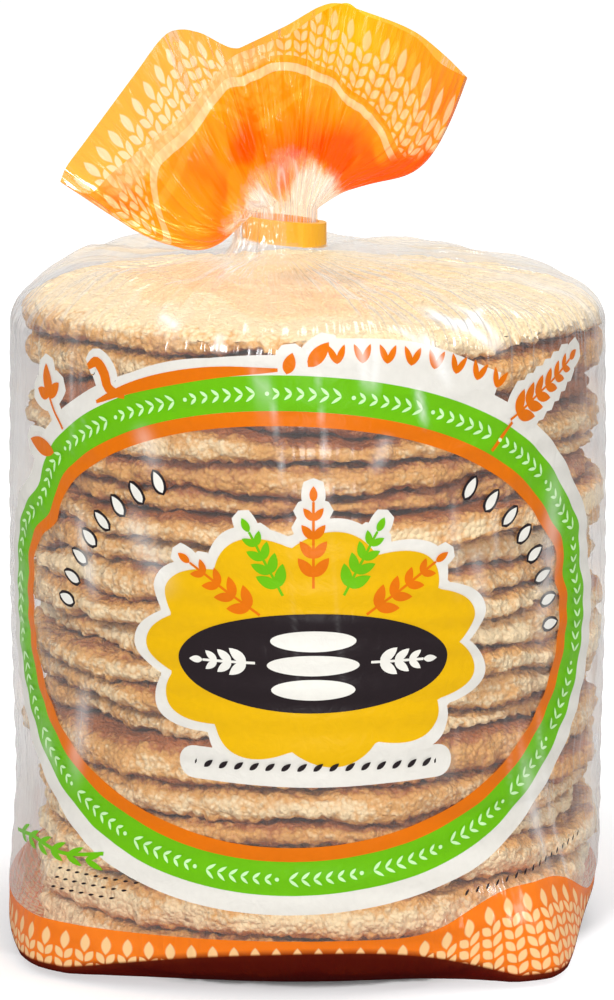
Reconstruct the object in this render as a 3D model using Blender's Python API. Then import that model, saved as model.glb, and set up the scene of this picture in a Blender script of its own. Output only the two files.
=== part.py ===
"""A clear bag of puffed rice cakes, gathered and tied above the stack.

Metres, +Z up, the front faces -Y. Sizes below are in millimetres. The bag is one
closed solid: the film round the stack, its tent, its neck and the flared mouth.
"""

import math

import bmesh
import bpy
from mathutils import Vector

MM = 0.001

# The stack
CAKES = 20
STACK_LOW = 1.5
STACK_TOP = 125.0
CAKE_PITCH = (STACK_TOP - STACK_LOW) / CAKES
BODY_RADIUS = 58.9
RIDGE = 0.55
FILM_WAVE = 0.45

# The bottom of the bag: a flat spot, a fold edge with four corner ears
BASE_SPOT = 44.0
BASE_RADIUS = 57.6
EDGE_LOW = 1.6
EDGE_HIGH = 8.0
EAR_TOP = 34.0
# angle from +X, how far the ear stands beyond the base radius, how wide it is
EARS = ((47.0, 9.6, 16.0), (133.0, 9.6, 16.0), (218.5, 10.4, 24.0), (313.5, 11.4, 16.0))

# The tent over the top cake: (radius, height)
TENT = ((59.0, 120.0), (58.7, 124.6), (56.2, 128.4), (50.8, 131.2), (42.0, 133.4),
        (32.0, 134.8), (22.0, 135.6), (14.0, 136.0), (9.6, 136.5))
TENT_PLEATS = 13
TENT_PLEAT = 0.9
LEFT_SHOULDER = 2.2

# The neck and its tape
NECK_X = -5.0
NECK_A = 6.9
NECK_B = 4.7
NECK_LOW = 137.3
NECK_HIGH = 145.2
TAPE_GAP = 0.35
TAPE_WALL = 0.85
TAPE_LAP = 0.6
TAPE_LOW = 137.9
TAPE_TALL = 4.8
TAPE_TILT = -0.10
TAPE_STEPS = 56

# The mouth: its front and back edges from the left end to the right end
MOUTH_FRONT = (
    (-48.9, -3.5, 150.3), (-43.0, -8.5, 148.6), (-38.7, -12.0, 152.7),
    (-34.2, -15.0, 156.7), (-29.5, -16.0, 160.7), (-24.6, -15.0, 164.7),
    (-20.2, -13.0, 169.4), (-16.8, -9.5, 171.7), (-14.1, -5.5, 172.3),
    (-9.8, -8.0, 176.1), (-3.3, -10.5, 180.2), (1.9, -11.0, 183.9),
    (7.4, -9.0, 185.9), (10.9, -10.0, 183.7), (16.3, -11.0, 181.8),
    (21.6, -10.0, 178.8), (25.8, -7.0, 174.1), (31.4, -1.0, 170.6),
)
MOUTH_BACK = (
    (-48.9, -3.5, 150.3), (-47.8, 1.0, 152.9), (-44.2, 2.0, 157.7),
    (-39.1, 2.5, 164.5), (-34.2, 3.5, 171.0), (-29.3, 5.0, 177.5),
    (-26.2, 8.0, 179.2), (-21.5, 9.0, 178.6), (-15.1, 8.5, 175.6),
    (-11.1, 9.0, 176.7), (-4.0, 9.0, 180.2), (2.0, 9.0, 183.6),
    (6.0, 8.5, 184.5), (10.7, 8.0, 183.1), (16.3, 8.0, 181.1),
    (21.8, 7.0, 178.6), (27.2, 5.0, 174.4), (31.4, -1.0, 170.6),
)
MOUTH_WALL = 2.0
MOUTH_DROOP = {"left": (9.6, 0.70), "right": (15.0, 1.9)}
MOUTH_FORWARD = 4.0
MOUTH_BELLY = 2.6
MOUTH_PLEATS = 12
MOUTH_PLEAT = 0.8
MOUTH_STEPS = (0.10, 0.24, 0.40, 0.56, 0.72, 0.87, 1.0)
THROAT_STEPS = (1.0, 0.85, 0.66, 0.48, 0.34)
THROAT_GAP = 0.45

AROUND = 60


def blend(low, high, value):
    """A smooth step from 0 at low to 1 at high."""
    t = min(1.0, max(0.0, (value - low) / (high - low)))
    return t * t * (3.0 - 2.0 * t)


def angle(i):
    """The ring starts at the left end and goes round by the front."""
    return math.pi + 2.0 * math.pi * i / AROUND


def polar(radius, theta, z, centre_x=0.0):
    return Vector((centre_x + radius * math.cos(theta), radius * math.sin(theta), z))


def ear(theta):
    """How far the four corner ears stand out at this angle."""
    total = 0.0
    for middle, reach, width in EARS:
        turn = math.degrees(theta) - middle
        turn = (turn + 180.0) % 360.0 - 180.0
        total += reach * math.exp(-abs(turn / width) ** 1.5)
    return total


def waves(theta, z):
    """The slack of the film: slow folds that run down the side."""
    drift = z / 60.0
    return FILM_WAVE * (
        0.6 * math.sin(5.0 * theta + 1.7 + drift)
        + 0.4 * math.sin(9.0 * theta - 0.8 - 1.3 * drift)
    )


def side_radius(theta, z):
    """The film over the cake rims: one ridge for each cake."""
    tilt = 0.9 * math.sin(theta + 0.7) + 0.5 * math.sin(3.0 * theta + 0.35 * z)
    phase = 2.0 * math.pi * (z - tilt) / CAKE_PITCH
    hollow = 1.2 * math.exp(-((z - 70.0) / 60.0) ** 2)
    ridge = RIDGE * (1.0 - blend(112.0, 122.0, z))
    return BODY_RADIUS - 0.6 + hollow + ridge * math.cos(phase) + waves(theta, z)


def base_rings():
    """The flat spot, the fold edge and the side up to where the ears end."""
    rings = []
    spot = []
    for i in range(AROUND):
        theta = angle(i)
        spot.append(polar(BASE_SPOT + 0.45 * ear(theta), theta, 0.0))
    rings.append(spot)
    for rise in (0.45, 0.85):
        ring = []
        for i in range(AROUND):
            theta = angle(i)
            out = ear(theta)
            low = BASE_SPOT + 0.45 * out
            edge = BASE_RADIUS + out
            height = EDGE_HIGH - (EDGE_HIGH - EDGE_LOW) * min(1.0, out / 9.0)
            radius = low + (edge - low) * math.sin(rise * math.pi / 2.0)
            z = height * (1.0 - math.cos(rise * math.pi / 2.0)) * 0.8
            ring.append(polar(radius, theta, z))
        rings.append(ring)
    for rise in (0.0, 0.14, 0.28, 0.42, 0.56, 0.70, 0.85, 1.0):
        ring = []
        for i in range(AROUND):
            theta = angle(i)
            out = ear(theta)
            height = EDGE_HIGH - (EDGE_HIGH - EDGE_LOW) * min(1.0, out / 9.0)
            z = height + (EAR_TOP - height) * rise
            fade = 1.0 - blend(-0.05, 1.0, rise)
            side = side_radius(theta, z)
            start = BASE_RADIUS + 0.6
            radius = side + (start - side) * (1.0 - blend(0.0, 0.30, rise))
            ring.append(polar(radius + out * fade, theta, z))
        rings.append(ring)
    return rings


def side_rings():
    """Two rings for each cake, from above the ears to the shoulder."""
    rings = []
    count = int((TENT[0][1] - EAR_TOP) / (CAKE_PITCH / 2.0))
    for step in range(1, count):
        z = EAR_TOP + (TENT[0][1] - EAR_TOP) * step / count
        ring = []
        for i in range(AROUND):
            theta = angle(i)
            ring.append(polar(side_radius(theta, z), theta, z))
        rings.append(ring)
    return rings


def tent_rings():
    """From the shoulder in over the top cake to the foot of the neck."""
    rings = []
    for radius, height in TENT:
        inward = blend(58.0, 14.0, radius)
        ring = []
        for i in range(AROUND):
            theta = angle(i)
            pleat = math.cos(TENT_PLEATS * theta + 0.9 * math.sin(2.0 * theta))
            swell = math.sin(math.pi * min(1.0, inward))
            lift = TENT_PLEAT * pleat * (0.35 + 0.65 * swell) * (1.0 - inward ** 6)
            lift += LEFT_SHOULDER * blend(-0.2, -1.0, math.cos(theta)) * math.sin(
                math.pi * blend(59.5, 30.0, radius))
            slack = waves(theta, height) * (1.0 - inward)
            flat = 1.0 - 0.26 * blend(30.0, 9.6, radius)
            x = NECK_X * inward + (radius + slack) * math.cos(theta)
            y = (radius + slack) * flat * math.sin(theta)
            ring.append(Vector((x, y, height + lift * blend(59.0, 52.0, radius))))
        rings.append(ring)
    return rings


def neck_rings():
    """The gathered neck, plain where the tape goes round it."""
    rings = []
    for z in (NECK_LOW, NECK_LOW + 2.4, NECK_HIGH - 2.2, NECK_HIGH - 1.0):
        ring = []
        for i in range(AROUND):
            theta = angle(i)
            x = NECK_X + NECK_A * math.cos(theta)
            y = NECK_B * math.sin(theta)
            shear = TAPE_TILT * (x - NECK_X)
            ring.append(Vector((x, y, z + shear)))
        rings.append(ring)
    return rings


def catmull(points, t):
    """A point on the smooth line through these points, t from 0 to 1."""
    last = len(points) - 1
    place = min(last - 1e-9, max(0.0, t * last))
    k = int(place)
    f = place - k
    p1 = Vector(points[k])
    p2 = Vector(points[k + 1])
    p0 = Vector(points[k - 1]) if k else p1 * 2.0 - p2
    p3 = Vector(points[k + 2]) if k + 2 <= last else p2 * 2.0 - p1
    return 0.5 * (2.0 * p1 + (p2 - p0) * f + (2.0 * p0 - 5.0 * p1 + 4.0 * p2 - p3) * f * f
                  + (3.0 * p1 - p0 - 3.0 * p2 + p3) * f * f * f)


def mouth_point(i):
    half = AROUND // 2
    if i <= half:
        return catmull(MOUTH_FRONT, i / half)
    return catmull(MOUTH_BACK, (AROUND - i) / half)


def frill_point(i, t):
    """The outer face of the flared mouth: t is 0 at the neck and 1 at the edge."""
    theta = angle(i)
    across = NECK_A * math.cos(theta)
    start = Vector((NECK_X + across, NECK_B * math.sin(theta), NECK_HIGH + TAPE_TILT * across))
    end = mouth_point(i)
    reach = end - start
    flat = math.hypot(reach.x, reach.z)
    level = abs(reach.x) / flat
    side = -math.sin(theta)
    point = start + reach * t
    depth, skew = MOUTH_DROOP["left" if reach.x < 0.0 else "right"]
    sag = math.sin(math.pi * t ** skew) * level ** 1.5
    point.z -= depth * sag
    if reach.x < 0.0:
        point.y -= MOUTH_FORWARD * sag
    point.y -= MOUTH_BELLY * side * math.sin(math.pi * t)
    pleat = math.cos(2.0 * math.pi * MOUTH_PLEATS * i / AROUND + 0.8 * t)
    size = MOUTH_PLEAT * math.sin(math.pi * min(1.0, 0.12 + 0.72 * t))
    point.y -= size * pleat * side
    return point


def frill_rings():
    return [[frill_point(i, t) for i in range(AROUND)] for t in MOUTH_STEPS]


def drawn_in(line, inset):
    """The same number of points along this line, both ends pulled in by the inset."""
    lengths = [0.0]
    for start, end in zip(line, line[1:]):
        lengths.append(lengths[-1] + (end - start).length)
    total = lengths[-1]
    moved = []
    for length in lengths:
        target = inset + (total - 2.0 * inset) * length / total
        k = max(j for j in range(len(line) - 1) if lengths[j] <= target)
        f = (target - lengths[k]) / (lengths[k + 1] - lengths[k])
        moved.append(line[k].lerp(line[k + 1], f))
    return moved


def throat_rings():
    """The inner face: the outer one drawn in toward the middle by the wall."""
    half = AROUND // 2
    rings = []
    for t in THROAT_STEPS:
        middles = []
        for j in range(half + 1):
            middles.append((frill_point(j, t) + frill_point((AROUND - j) % AROUND, t)) / 2.0)
        inner = drawn_in(middles, MOUTH_WALL)
        ring = []
        for i in range(AROUND):
            j = i if i <= half else AROUND - i
            if j in (0, half):
                ring.append(inner[j])
                continue
            away = frill_point(i, t) - middles[j]
            depth = away.length
            kept = max(THROAT_GAP, depth - MOUTH_WALL)
            ring.append(inner[j] + away * (min(kept, depth * 0.7) / depth))
        rings.append(ring)
    return rings


def material(name, colour, roughness):
    made = bpy.data.materials.new(name)
    made.use_nodes = True
    shader = made.node_tree.nodes["Principled BSDF"]
    shader.inputs["Base Color"].default_value = (*colour, 1.0)
    shader.inputs["Roughness"].default_value = roughness
    return made


def solid(name, rings, closed_loop, surface):
    """Bridges rings of equal count. The ends are capped, or joined when closed_loop is set."""
    mesh = bmesh.new()
    rows = [[mesh.verts.new(point * MM) for point in ring] for ring in rings]
    pairs = list(zip(rows, rows[1:]))
    if closed_loop:
        pairs.append((rows[-1], rows[0]))
    for low, high in pairs:
        count = len(low)
        for i in range(count):
            j = (i + 1) % count
            mesh.faces.new((low[i], low[j], high[j], high[i]))
    if not closed_loop:
        mesh.faces.new(list(reversed(rows[0])))
        mesh.faces.new(rows[-1])
    bmesh.ops.recalc_face_normals(mesh, faces=mesh.faces)
    bmesh.ops.triangulate(mesh, faces=mesh.faces)
    data = bpy.data.meshes.new(name)
    mesh.to_mesh(data)
    mesh.free()
    data.materials.append(surface)
    made = bpy.data.objects.new(name, data)
    bpy.context.scene.collection.objects.link(made)
    return made


def tape_rings():
    """Sections round the neck. The tape's end laps over its start at the front right."""
    rings = []
    for step in range(TAPE_STEPS):
        theta = math.radians(-62.0) + 2.0 * math.pi * step / TAPE_STEPS
        lapped = 1.0 if step < TAPE_STEPS * 0.24 or step >= TAPE_STEPS - 1 else 0.0
        lap = TAPE_LAP if step < TAPE_STEPS * 0.24 else 0.0
        inner = TAPE_GAP
        outer = TAPE_GAP + TAPE_WALL + lap * lapped
        section = []
        for grow, level in ((inner, 0.0), (outer, 0.0), (outer, 1.0), (inner, 1.0)):
            x = (NECK_A + grow) * math.cos(theta)
            y = (NECK_B + grow) * math.sin(theta)
            z = TAPE_LOW + TAPE_TALL * level + TAPE_TILT * x
            section.append(Vector((NECK_X + x, y, z)))
        rings.append(section)
    return rings


def main():
    for old in list(bpy.data.objects):
        bpy.data.objects.remove(old)
    film = material("clear_film", (0.86, 0.74, 0.52), 0.25)
    tape = material("yellow_tape", (0.95, 0.62, 0.02), 0.45)
    rings = base_rings() + side_rings() + tent_rings() + neck_rings()
    rings += frill_rings() + throat_rings()
    solid("bag", rings, False, film)
    solid("tie", tape_rings(), True, tape)


main()
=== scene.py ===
"""Looks of a tied clear bag of puffed rice cakes, laid out as a Blender add-on.

Run as a script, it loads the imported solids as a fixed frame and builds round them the
cakes, the clear film, the printed mouth, the label and a plain stage. Lengths in the
shape functions are in millimetres: +Z is up and the printed front faces -Y.
"""

import math

import bmesh
import bpy
import numpy as np
from bpy.props import FloatProperty, FloatVectorProperty, IntProperty, PointerProperty
from bpy.types import Operator, Panel, PropertyGroup
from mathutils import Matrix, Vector


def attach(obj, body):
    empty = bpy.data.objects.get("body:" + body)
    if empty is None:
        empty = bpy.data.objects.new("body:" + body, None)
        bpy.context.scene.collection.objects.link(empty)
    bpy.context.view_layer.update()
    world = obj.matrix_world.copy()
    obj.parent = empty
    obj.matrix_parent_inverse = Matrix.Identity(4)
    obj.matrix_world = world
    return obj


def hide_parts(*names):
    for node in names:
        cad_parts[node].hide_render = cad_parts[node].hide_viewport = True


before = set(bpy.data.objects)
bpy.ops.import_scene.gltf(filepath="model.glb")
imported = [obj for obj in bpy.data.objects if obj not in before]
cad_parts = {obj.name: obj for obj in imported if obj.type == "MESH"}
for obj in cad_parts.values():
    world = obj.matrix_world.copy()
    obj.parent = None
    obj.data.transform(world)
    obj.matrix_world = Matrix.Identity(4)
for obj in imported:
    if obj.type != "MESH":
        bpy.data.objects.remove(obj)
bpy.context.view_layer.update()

bl_info = {
    "name": "Rice Cake Bag",
    "version": (1, 0, 0),
    "blender": (4, 5, 0),
    "location": "3D View > Sidebar > Rice Cake Bag",
    "description": "Builds a clear tied bag of puffed rice cakes round its packed solids",
    "category": "Add Mesh",
}

MM = 0.001

# The stack of cakes: the heights where one cake meets the next
SEAMS = (1.0, 9.8, 16.8, 23.8, 29.0, 34.5, 39.8, 46.8, 52.5, 58.2, 63.8,
         70.0, 75.4, 81.0, 86.5, 91.8, 96.9, 101.3, 107.6, 115.0, 122.9, 128.0)
STACK_X = 0.9
# Cakes that sit back from the film: how far, and how much painted shade browns them
SET_BACK = {18: (3.4, 0.95), 15: (3.0, 0.35), 12: (2.0, 0.15), 7: (2.5, 0.20), 3: (2.0, 0.10)}

# A cake's rim: how deep it is above and below its bulge, how square, how high it bulges
RIM_TOP = 5.5
RIM_UNDER = 4.2
RIM_SQUARE = 0.80
BULGE = 0.42
RIM_POINTS = (11, 7)
NOMINAL_RADIUS = 60.0
# Half the gap at a seam, how much the top cake rises at the back, and its room under the tent
SEAM_GAP = 0.28
TOP_RISE = 1.4
TOP_ROOM = 1.5
TOP_CAKE_LEAST = 56.8
# Size of one grain of the crumb in metres
GRAIN = 0.0011

# The film round the stack, as the solid has it
SOLID_CAKES = 20
STACK_LOW = 1.5
STACK_TOP = 125.0
CAKE_PITCH = (STACK_TOP - STACK_LOW) / SOLID_CAKES
BODY_RADIUS = 58.9
RIDGE = 0.12
FILM_WAVE = 0.45
WRAP_RADIUS = 59.2

# The bottom of the bag: a flat spot, a fold edge and four corner ears
BASE_SPOT = 44.0
BASE_RADIUS = 57.6
EDGE_LOW = 1.6
EDGE_HIGH = 8.0
EAR_TOP = 34.0
FLAT_SHARE = 0.62
# How long the film's chart is from the middle of the bottom to the fold edge
BASE_LENGTH = 60.0
BAND_TOP = 11.3
BAND_RISE = 8.0
# angle from +X, how far the ear stands beyond the base radius, how wide it is
EARS = ((47.0, 9.6, 16.0), (133.0, 9.6, 16.0), (218.5, 10.4, 24.0), (313.5, 11.4, 16.0))
RIGHT_EAR = EARS[3][0]
# The film's rows, and where its side, its tent and its neck start, as shares of its way up
FILM_ROWS = 236
SIDE_SHARE = 0.09
TENT_SHARE = 0.46
CLOSED_SHARE = 0.96

# The tent over the top cake: (radius, height)
TENT = ((59.0, 120.0), (58.7, 124.6), (56.2, 128.4), (50.8, 131.2), (42.0, 133.4),
        (32.0, 134.8), (22.0, 135.6), (14.0, 136.0), (9.6, 136.5))
SHOULDER = 120.0
TENT_PLEATS = 13
TENT_PLEAT = 0.9
LEFT_SHOULDER = 2.2

# The neck under the tape
NECK_X = -5.0
NECK_A = 6.9
NECK_B = 4.7
NECK_HIGH = 145.2
NECK_MIDDLE = 140.5
TAPE_TILT = -0.10

# Painted sheen, whitish where the film is folded: from (across, up) to (across, up), width,
# strength
SHEEN_STREAKS = (
    (22.0, 130.0, 28.5, 116.0, 0.9, 0.9), (20.8, 119.0, 22.8, 109.5, 0.7, 0.6),
    (9.6, 129.0, 11.2, 116.0, 0.9, 0.55), (13.0, 127.5, 12.4, 115.5, 0.7, 0.5),
    (30.5, 131.5, 40.0, 122.0, 0.9, 0.9), (25.0, 135.0, 37.0, 126.0, 1.1, 0.9),
    (34.0, 137.0, 41.0, 121.5, 0.9, 0.8), (28.0, 139.0, 31.0, 125.0, 0.9, 0.8),
    (42.0, 134.0, 30.0, 127.5, 0.9, 0.7), (17.0, 131.0, 24.0, 124.0, 0.8, 0.6),
    (-17.4, 129.0, -17.0, 124.0, 0.7, 0.8), (-33.0, 133.0, -25.0, 128.0, 0.8, 0.6),
    (-50.0, 93.0, -44.0, 72.0, 1.5, 0.40), (-38.0, 95.0, -26.0, 76.0, 2.6, 0.26),
    (-34.0, 111.0, -29.0, 99.0, 1.8, 0.26), (15.5, 110.0, 12.0, 101.0, 1.3, 0.30),
    (56.0, 104.0, 50.0, 58.0, 2.4, 0.34), (-47.0, 60.0, -52.0, 34.0, 2.0, 0.30),
    (46.0, 46.0, 52.0, 22.0, 1.6, 0.30), (33.0, 88.0, 36.0, 70.0, 1.4, 0.22),
)

# The mouth: its front and back edges from the left end to the right end
MOUTH_FRONT = (
    (-48.9, -3.5, 150.3), (-43.0, -8.5, 148.6), (-38.7, -12.0, 152.7),
    (-34.2, -15.0, 156.7), (-29.5, -16.0, 160.7), (-24.6, -15.0, 164.7),
    (-20.2, -13.0, 169.9), (-16.8, -9.5, 173.4), (-14.1, -6.0, 175.6),
    (-9.8, -8.0, 177.4), (-3.3, -10.5, 180.2), (1.9, -11.0, 183.9),
    (7.4, -9.0, 185.9), (10.9, -10.0, 183.7), (16.3, -11.0, 181.8),
    (21.6, -10.0, 178.8), (25.8, -7.0, 174.1), (31.4, -1.0, 170.6),
)
MOUTH_BACK = (
    (-48.9, -3.5, 150.3), (-47.8, 1.0, 152.9), (-44.2, 2.0, 157.7),
    (-39.1, 2.5, 164.5), (-34.2, 3.5, 171.0), (-29.3, 5.0, 177.5),
    (-26.2, 8.0, 179.2), (-21.5, 9.0, 178.6), (-15.1, 8.5, 175.6),
    (-11.1, 9.0, 176.7), (-4.0, 9.0, 180.2), (2.0, 9.0, 183.6),
    (6.0, 8.5, 184.5), (10.7, 8.0, 183.1), (16.3, 8.0, 181.1),
    (21.8, 7.0, 178.6), (27.2, 5.0, 174.4), (31.4, -1.0, 170.6),
)
MOUTH_DROOP = {"left": (9.6, 0.70), "right": (15.0, 1.9)}
# The gathered film over the tape: its angles and heights
COLLAR_FROM = 150.0
COLLAR_TO = 275.0
COLLAR_LOW = 135.6
COLLAR_HIGH = 146.6
MOUTH_FORWARD = 4.0
MOUTH_BELLY = 2.6
MOUTH_PLEATS = 12
MOUTH_PLEAT = 0.8
# The mouth's columns and rows, and how much of its way up is the neck
MOUTH_GRID = (360, 84)
NECK_SHARE = 0.06
TURNED_LEFT = 12.0
SPREAD_HIGH = 172.0
MOUTH_FOLD = 1.5
# Painted fold shade, deeper red where layers lie over each other: across, height, widths, strength
FOLD_SHADE_PATCHES = ((20.5, 154.0, 5.5, 4.5, 0.75), (6.0, 157.5, 5.5, 3.6, 0.75),
           (-12.0, 160.0, 3.0, 7.0, 0.7), (-3.0, 152.0, 4.0, 5.0, 0.6),
           (-22.0, 155.0, 4.0, 5.0, 0.5), (-36.0, 147.0, 4.0, 3.0, 0.6),
           (26.0, 166.0, 4.0, 4.0, 0.35))
# Width of the turned hem of the mouth
HEM = 3.4

# The label's ring: middle, half width and half height of its outer edge
RING_U = -4.4
RING_Z = 70.6
RING_HALF = (70.6, 50.2)
# Where the pulled film dents the ring: angle, width, depth
RING_DENTS = ((2.62, 0.11, 2.4), (2.88, 0.12, -0.9), (0.33, 0.07, -1.2), (0.17, 0.07, 0.9))
# Middles of the rosette and of the dark oval on it
ROSETTE = (1.0, 68.5)
DARK_OVAL = (1.0, 66.0)
# How far the first ink stands off the film, and each ink off the one before
LABEL_LIFT = 0.12
LABEL_STEP = 0.06
# Widths of the ring's green and orange, and of the white outside it
RING_GREEN = 6.7
RING_ORANGE = 2.8
RING_HALO = 3.8


# ---------------------------------------------------------------- settings

class CakeSettings(PropertyGroup):
    radius: FloatProperty(
        name="Radius", description="Radius of one cake, without its unevenness",
        default=0.0567, unit="LENGTH", subtype="DISTANCE")
    clearance: FloatProperty(
        name="Clearance", description="Least gap between a rim and the film",
        default=0.00045, unit="LENGTH", subtype="DISTANCE")
    segments: IntProperty(
        name="Segments", description="Steps round each cake", default=600, min=24)
    relief: FloatProperty(
        name="Relief", description="Height of the puffed bumps on a rim",
        default=0.00095, unit="LENGTH", subtype="DISTANCE")
    crumb: FloatVectorProperty(
        name="Crumb", description="Colour of the pale puffed crumb",
        default=(0.84, 0.665, 0.40), subtype="COLOR", min=0.0, max=1.0)
    golden: FloatVectorProperty(
        name="Golden", description="Colour of the lightly toasted crumb",
        default=(0.67, 0.34, 0.085), subtype="COLOR", min=0.0, max=1.0)
    # Also the colour of the painted shade between the cakes
    toasted_and_shaded: FloatVectorProperty(
        name="Toasted", description="Colour of the brown edges",
        default=(0.36, 0.105, 0.018), subtype="COLOR", min=0.0, max=1.0)


class FilmSettings(PropertyGroup):
    around: IntProperty(
        name="Around", description="Steps of the film round the bag", default=380, min=24)
    crease: FloatProperty(
        name="Crease", description="Depth of the fine creases of the film",
        default=0.00035, unit="LENGTH", subtype="DISTANCE")
    haze: FloatProperty(
        name="Haze", description="Share of milky white in the clear film",
        default=0.015, min=0.0, max=1.0, subtype="FACTOR")


class PrintSettings(PropertyGroup):
    orange: FloatVectorProperty(
        name="Orange", description="Orange ink", default=(0.68, 0.15, 0.001),
        subtype="COLOR", min=0.0, max=1.0)
    band_orange: FloatVectorProperty(
        name="Band orange", description="Orange ink of the base band",
        default=(0.82, 0.175, 0.001), subtype="COLOR", min=0.0, max=1.0)
    mouth_orange: FloatVectorProperty(
        name="Mouth orange", description="Thin orange ink of the mouth",
        default=(1.0, 0.50, 0.002), subtype="COLOR", min=0.0, max=1.0)
    film_tint: FloatVectorProperty(
        name="Film tint", description="Colour of light that passes the thin orange ink",
        default=(1.0, 0.40, 0.09), subtype="COLOR", min=0.0, max=1.0)
    # Painted fold shade: deeper red ink where the mouth's film gathers
    fold_shade_orange: FloatVectorProperty(
        name="Deep orange", description="Mouth ink where the film is gathered",
        default=(0.98, 0.19, 0.001), subtype="COLOR", min=0.0, max=1.0)
    # Painted shade: the base band's ink, darkened where it faces the floor as if in the shadow
    # under the bag
    under_shade_orange: FloatVectorProperty(
        name="Under orange", description="Base band where it faces the floor",
        default=(0.055, 0.004, 0.003), subtype="COLOR", min=0.0, max=1.0)
    # Painted fold shade: deeper red light through the gathered mouth film
    fold_shade_tint: FloatVectorProperty(
        name="Deep tint", description="Colour of light that passes gathered orange film",
        default=(0.98, 0.17, 0.004), subtype="COLOR", min=0.0, max=1.0)
    sunny_tint: FloatVectorProperty(
        name="Sunny tint", description="Colour of light that shines through the peak",
        default=(1.0, 0.70, 0.05), subtype="COLOR", min=0.0, max=1.0)
    green: FloatVectorProperty(
        name="Green", description="Green ink of the ring", default=(0.135, 0.45, 0.003),
        subtype="COLOR", min=0.0, max=1.0)
    yellow: FloatVectorProperty(
        name="Yellow", description="Yellow ink of the rosette", default=(0.72, 0.41, 0.001),
        subtype="COLOR", min=0.0, max=1.0)
    white: FloatVectorProperty(
        name="White", description="White ink behind the label", default=(0.71, 0.685, 0.63),
        subtype="COLOR", min=0.0, max=1.0)
    dark: FloatVectorProperty(
        name="Dark", description="Dark ink of the rosette", default=(0.016, 0.010, 0.012),
        subtype="COLOR", min=0.0, max=1.0)
    pale: FloatVectorProperty(
        name="Pale", description="Pale ink of the small shapes", default=(0.78, 0.76, 0.70),
        subtype="COLOR", min=0.0, max=1.0)
    mark: FloatVectorProperty(
        name="Mark", description="Pale green of the ring's leaf marks",
        default=(0.55, 0.82, 0.42), subtype="COLOR", min=0.0, max=1.0)


class StageSettings(PropertyGroup):
    camera_back: FloatProperty(
        name="Camera distance", description="How far in front of the bag the camera stands",
        default=0.860, unit="LENGTH", subtype="DISTANCE")
    camera_height: FloatProperty(
        name="Camera height", description="Height of the camera above the floor",
        default=0.253, unit="LENGTH", subtype="DISTANCE")
    camera_pitch: FloatProperty(
        name="Camera pitch", description="How far the camera looks down",
        default=math.radians(11.01), unit="ROTATION", subtype="ANGLE")
    lens: FloatProperty(
        name="Lens", description="Focal length in millimetres", default=157.0)
    world: FloatProperty(
        name="Surround", description="Brightness of the surround near the horizon",
        default=0.20)
    world_top: FloatProperty(
        name="Surround above", description="Brightness of the surround overhead", default=0.62)
    world_mirrored: FloatProperty(
        name="Surround mirrored", description="Brightness of the surround in reflections",
        default=0.85)
    key: FloatProperty(
        name="Key light", description="Power of the key light in watts", default=9.6,
        unit="POWER")


# ---------------------------------------------------------------- even and uneven numbers

def blend(low, high, value):
    """A smooth step from 0 at low to 1 at high."""
    t = np.clip((value - low) / (high - low), 0.0, 1.0)
    return t * t * (3.0 - 2.0 * t)


def lattice(x, y, z, seed):
    """A repeatable random number from -1 to 1 for each whole-number place."""
    mixed = x * 73856093 + y * 19349663 + z * 83492791 + seed * 9973
    mixed = (mixed ^ (mixed >> 13)) * 60493 & 0x7FFFFFFF
    mixed = (mixed ^ (mixed >> 15)) * 19990303 & 0x7FFFFFFF
    return ((mixed ^ (mixed >> 11)) & 0xFFFF) / 32767.5 - 1.0


def uneven(x, y, z, seed=0):
    """Smooth noise from -1 to 1 at these places, about one lump for each unit."""
    x, y, z = np.broadcast_arrays(x, y, z)
    whole = [np.floor(part).astype(np.int64) for part in (x, y, z)]
    rest = [part - floor for part, floor in zip((x, y, z), whole)]
    ease = [f * f * f * (f * (f * 6.0 - 15.0) + 10.0) for f in rest]
    total = 0.0
    for i in (0, 1):
        for j in (0, 1):
            for k in (0, 1):
                weight = (ease[0] if i else 1.0 - ease[0]) * (ease[1] if j else 1.0 - ease[1])
                weight = weight * (ease[2] if k else 1.0 - ease[2])
                total = total + weight * lattice(whole[0] + i, whole[1] + j, whole[2] + k, seed)
    return total


def catmull(points, t):
    """Points on the smooth line through these ones, for each t from 0 to 1."""
    line = np.array(points, float)
    line = np.vstack([2.0 * line[0] - line[1], line, 2.0 * line[-1] - line[-2]])
    last = len(points) - 1
    place = np.clip(np.asarray(t, float) * last, 0.0, last - 1e-9)
    k = place.astype(int)
    f = (place - k)[..., None]
    p0, p1, p2, p3 = (line[k + step] for step in range(4))
    return 0.5 * (2.0 * p1 + (p2 - p0) * f + (2.0 * p0 - 5.0 * p1 + 4.0 * p2 - p3) * f * f
                  + (3.0 * p1 - p0 - 3.0 * p2 + p3) * f * f * f)


def stack(x, y, z):
    return np.stack(np.broadcast_arrays(x, y, z), axis=-1)


# ---------------------------------------------------------------- shape of the film

def ear(theta):
    """How far the four corner ears stand out at this angle."""
    total = 0.0
    for middle, reach, width in EARS:
        turn = (np.degrees(theta) - middle + 180.0) % 360.0 - 180.0
        total = total + reach * np.exp(-np.abs(turn / width) ** 1.5)
    return total


def waves(theta, z):
    """The slack of the film: slow folds that run down the side."""
    drift = z / 60.0
    return FILM_WAVE * (0.6 * np.sin(5.0 * theta + 1.7 + drift)
                        + 0.4 * np.sin(9.0 * theta - 0.8 - 1.3 * drift))


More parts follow.
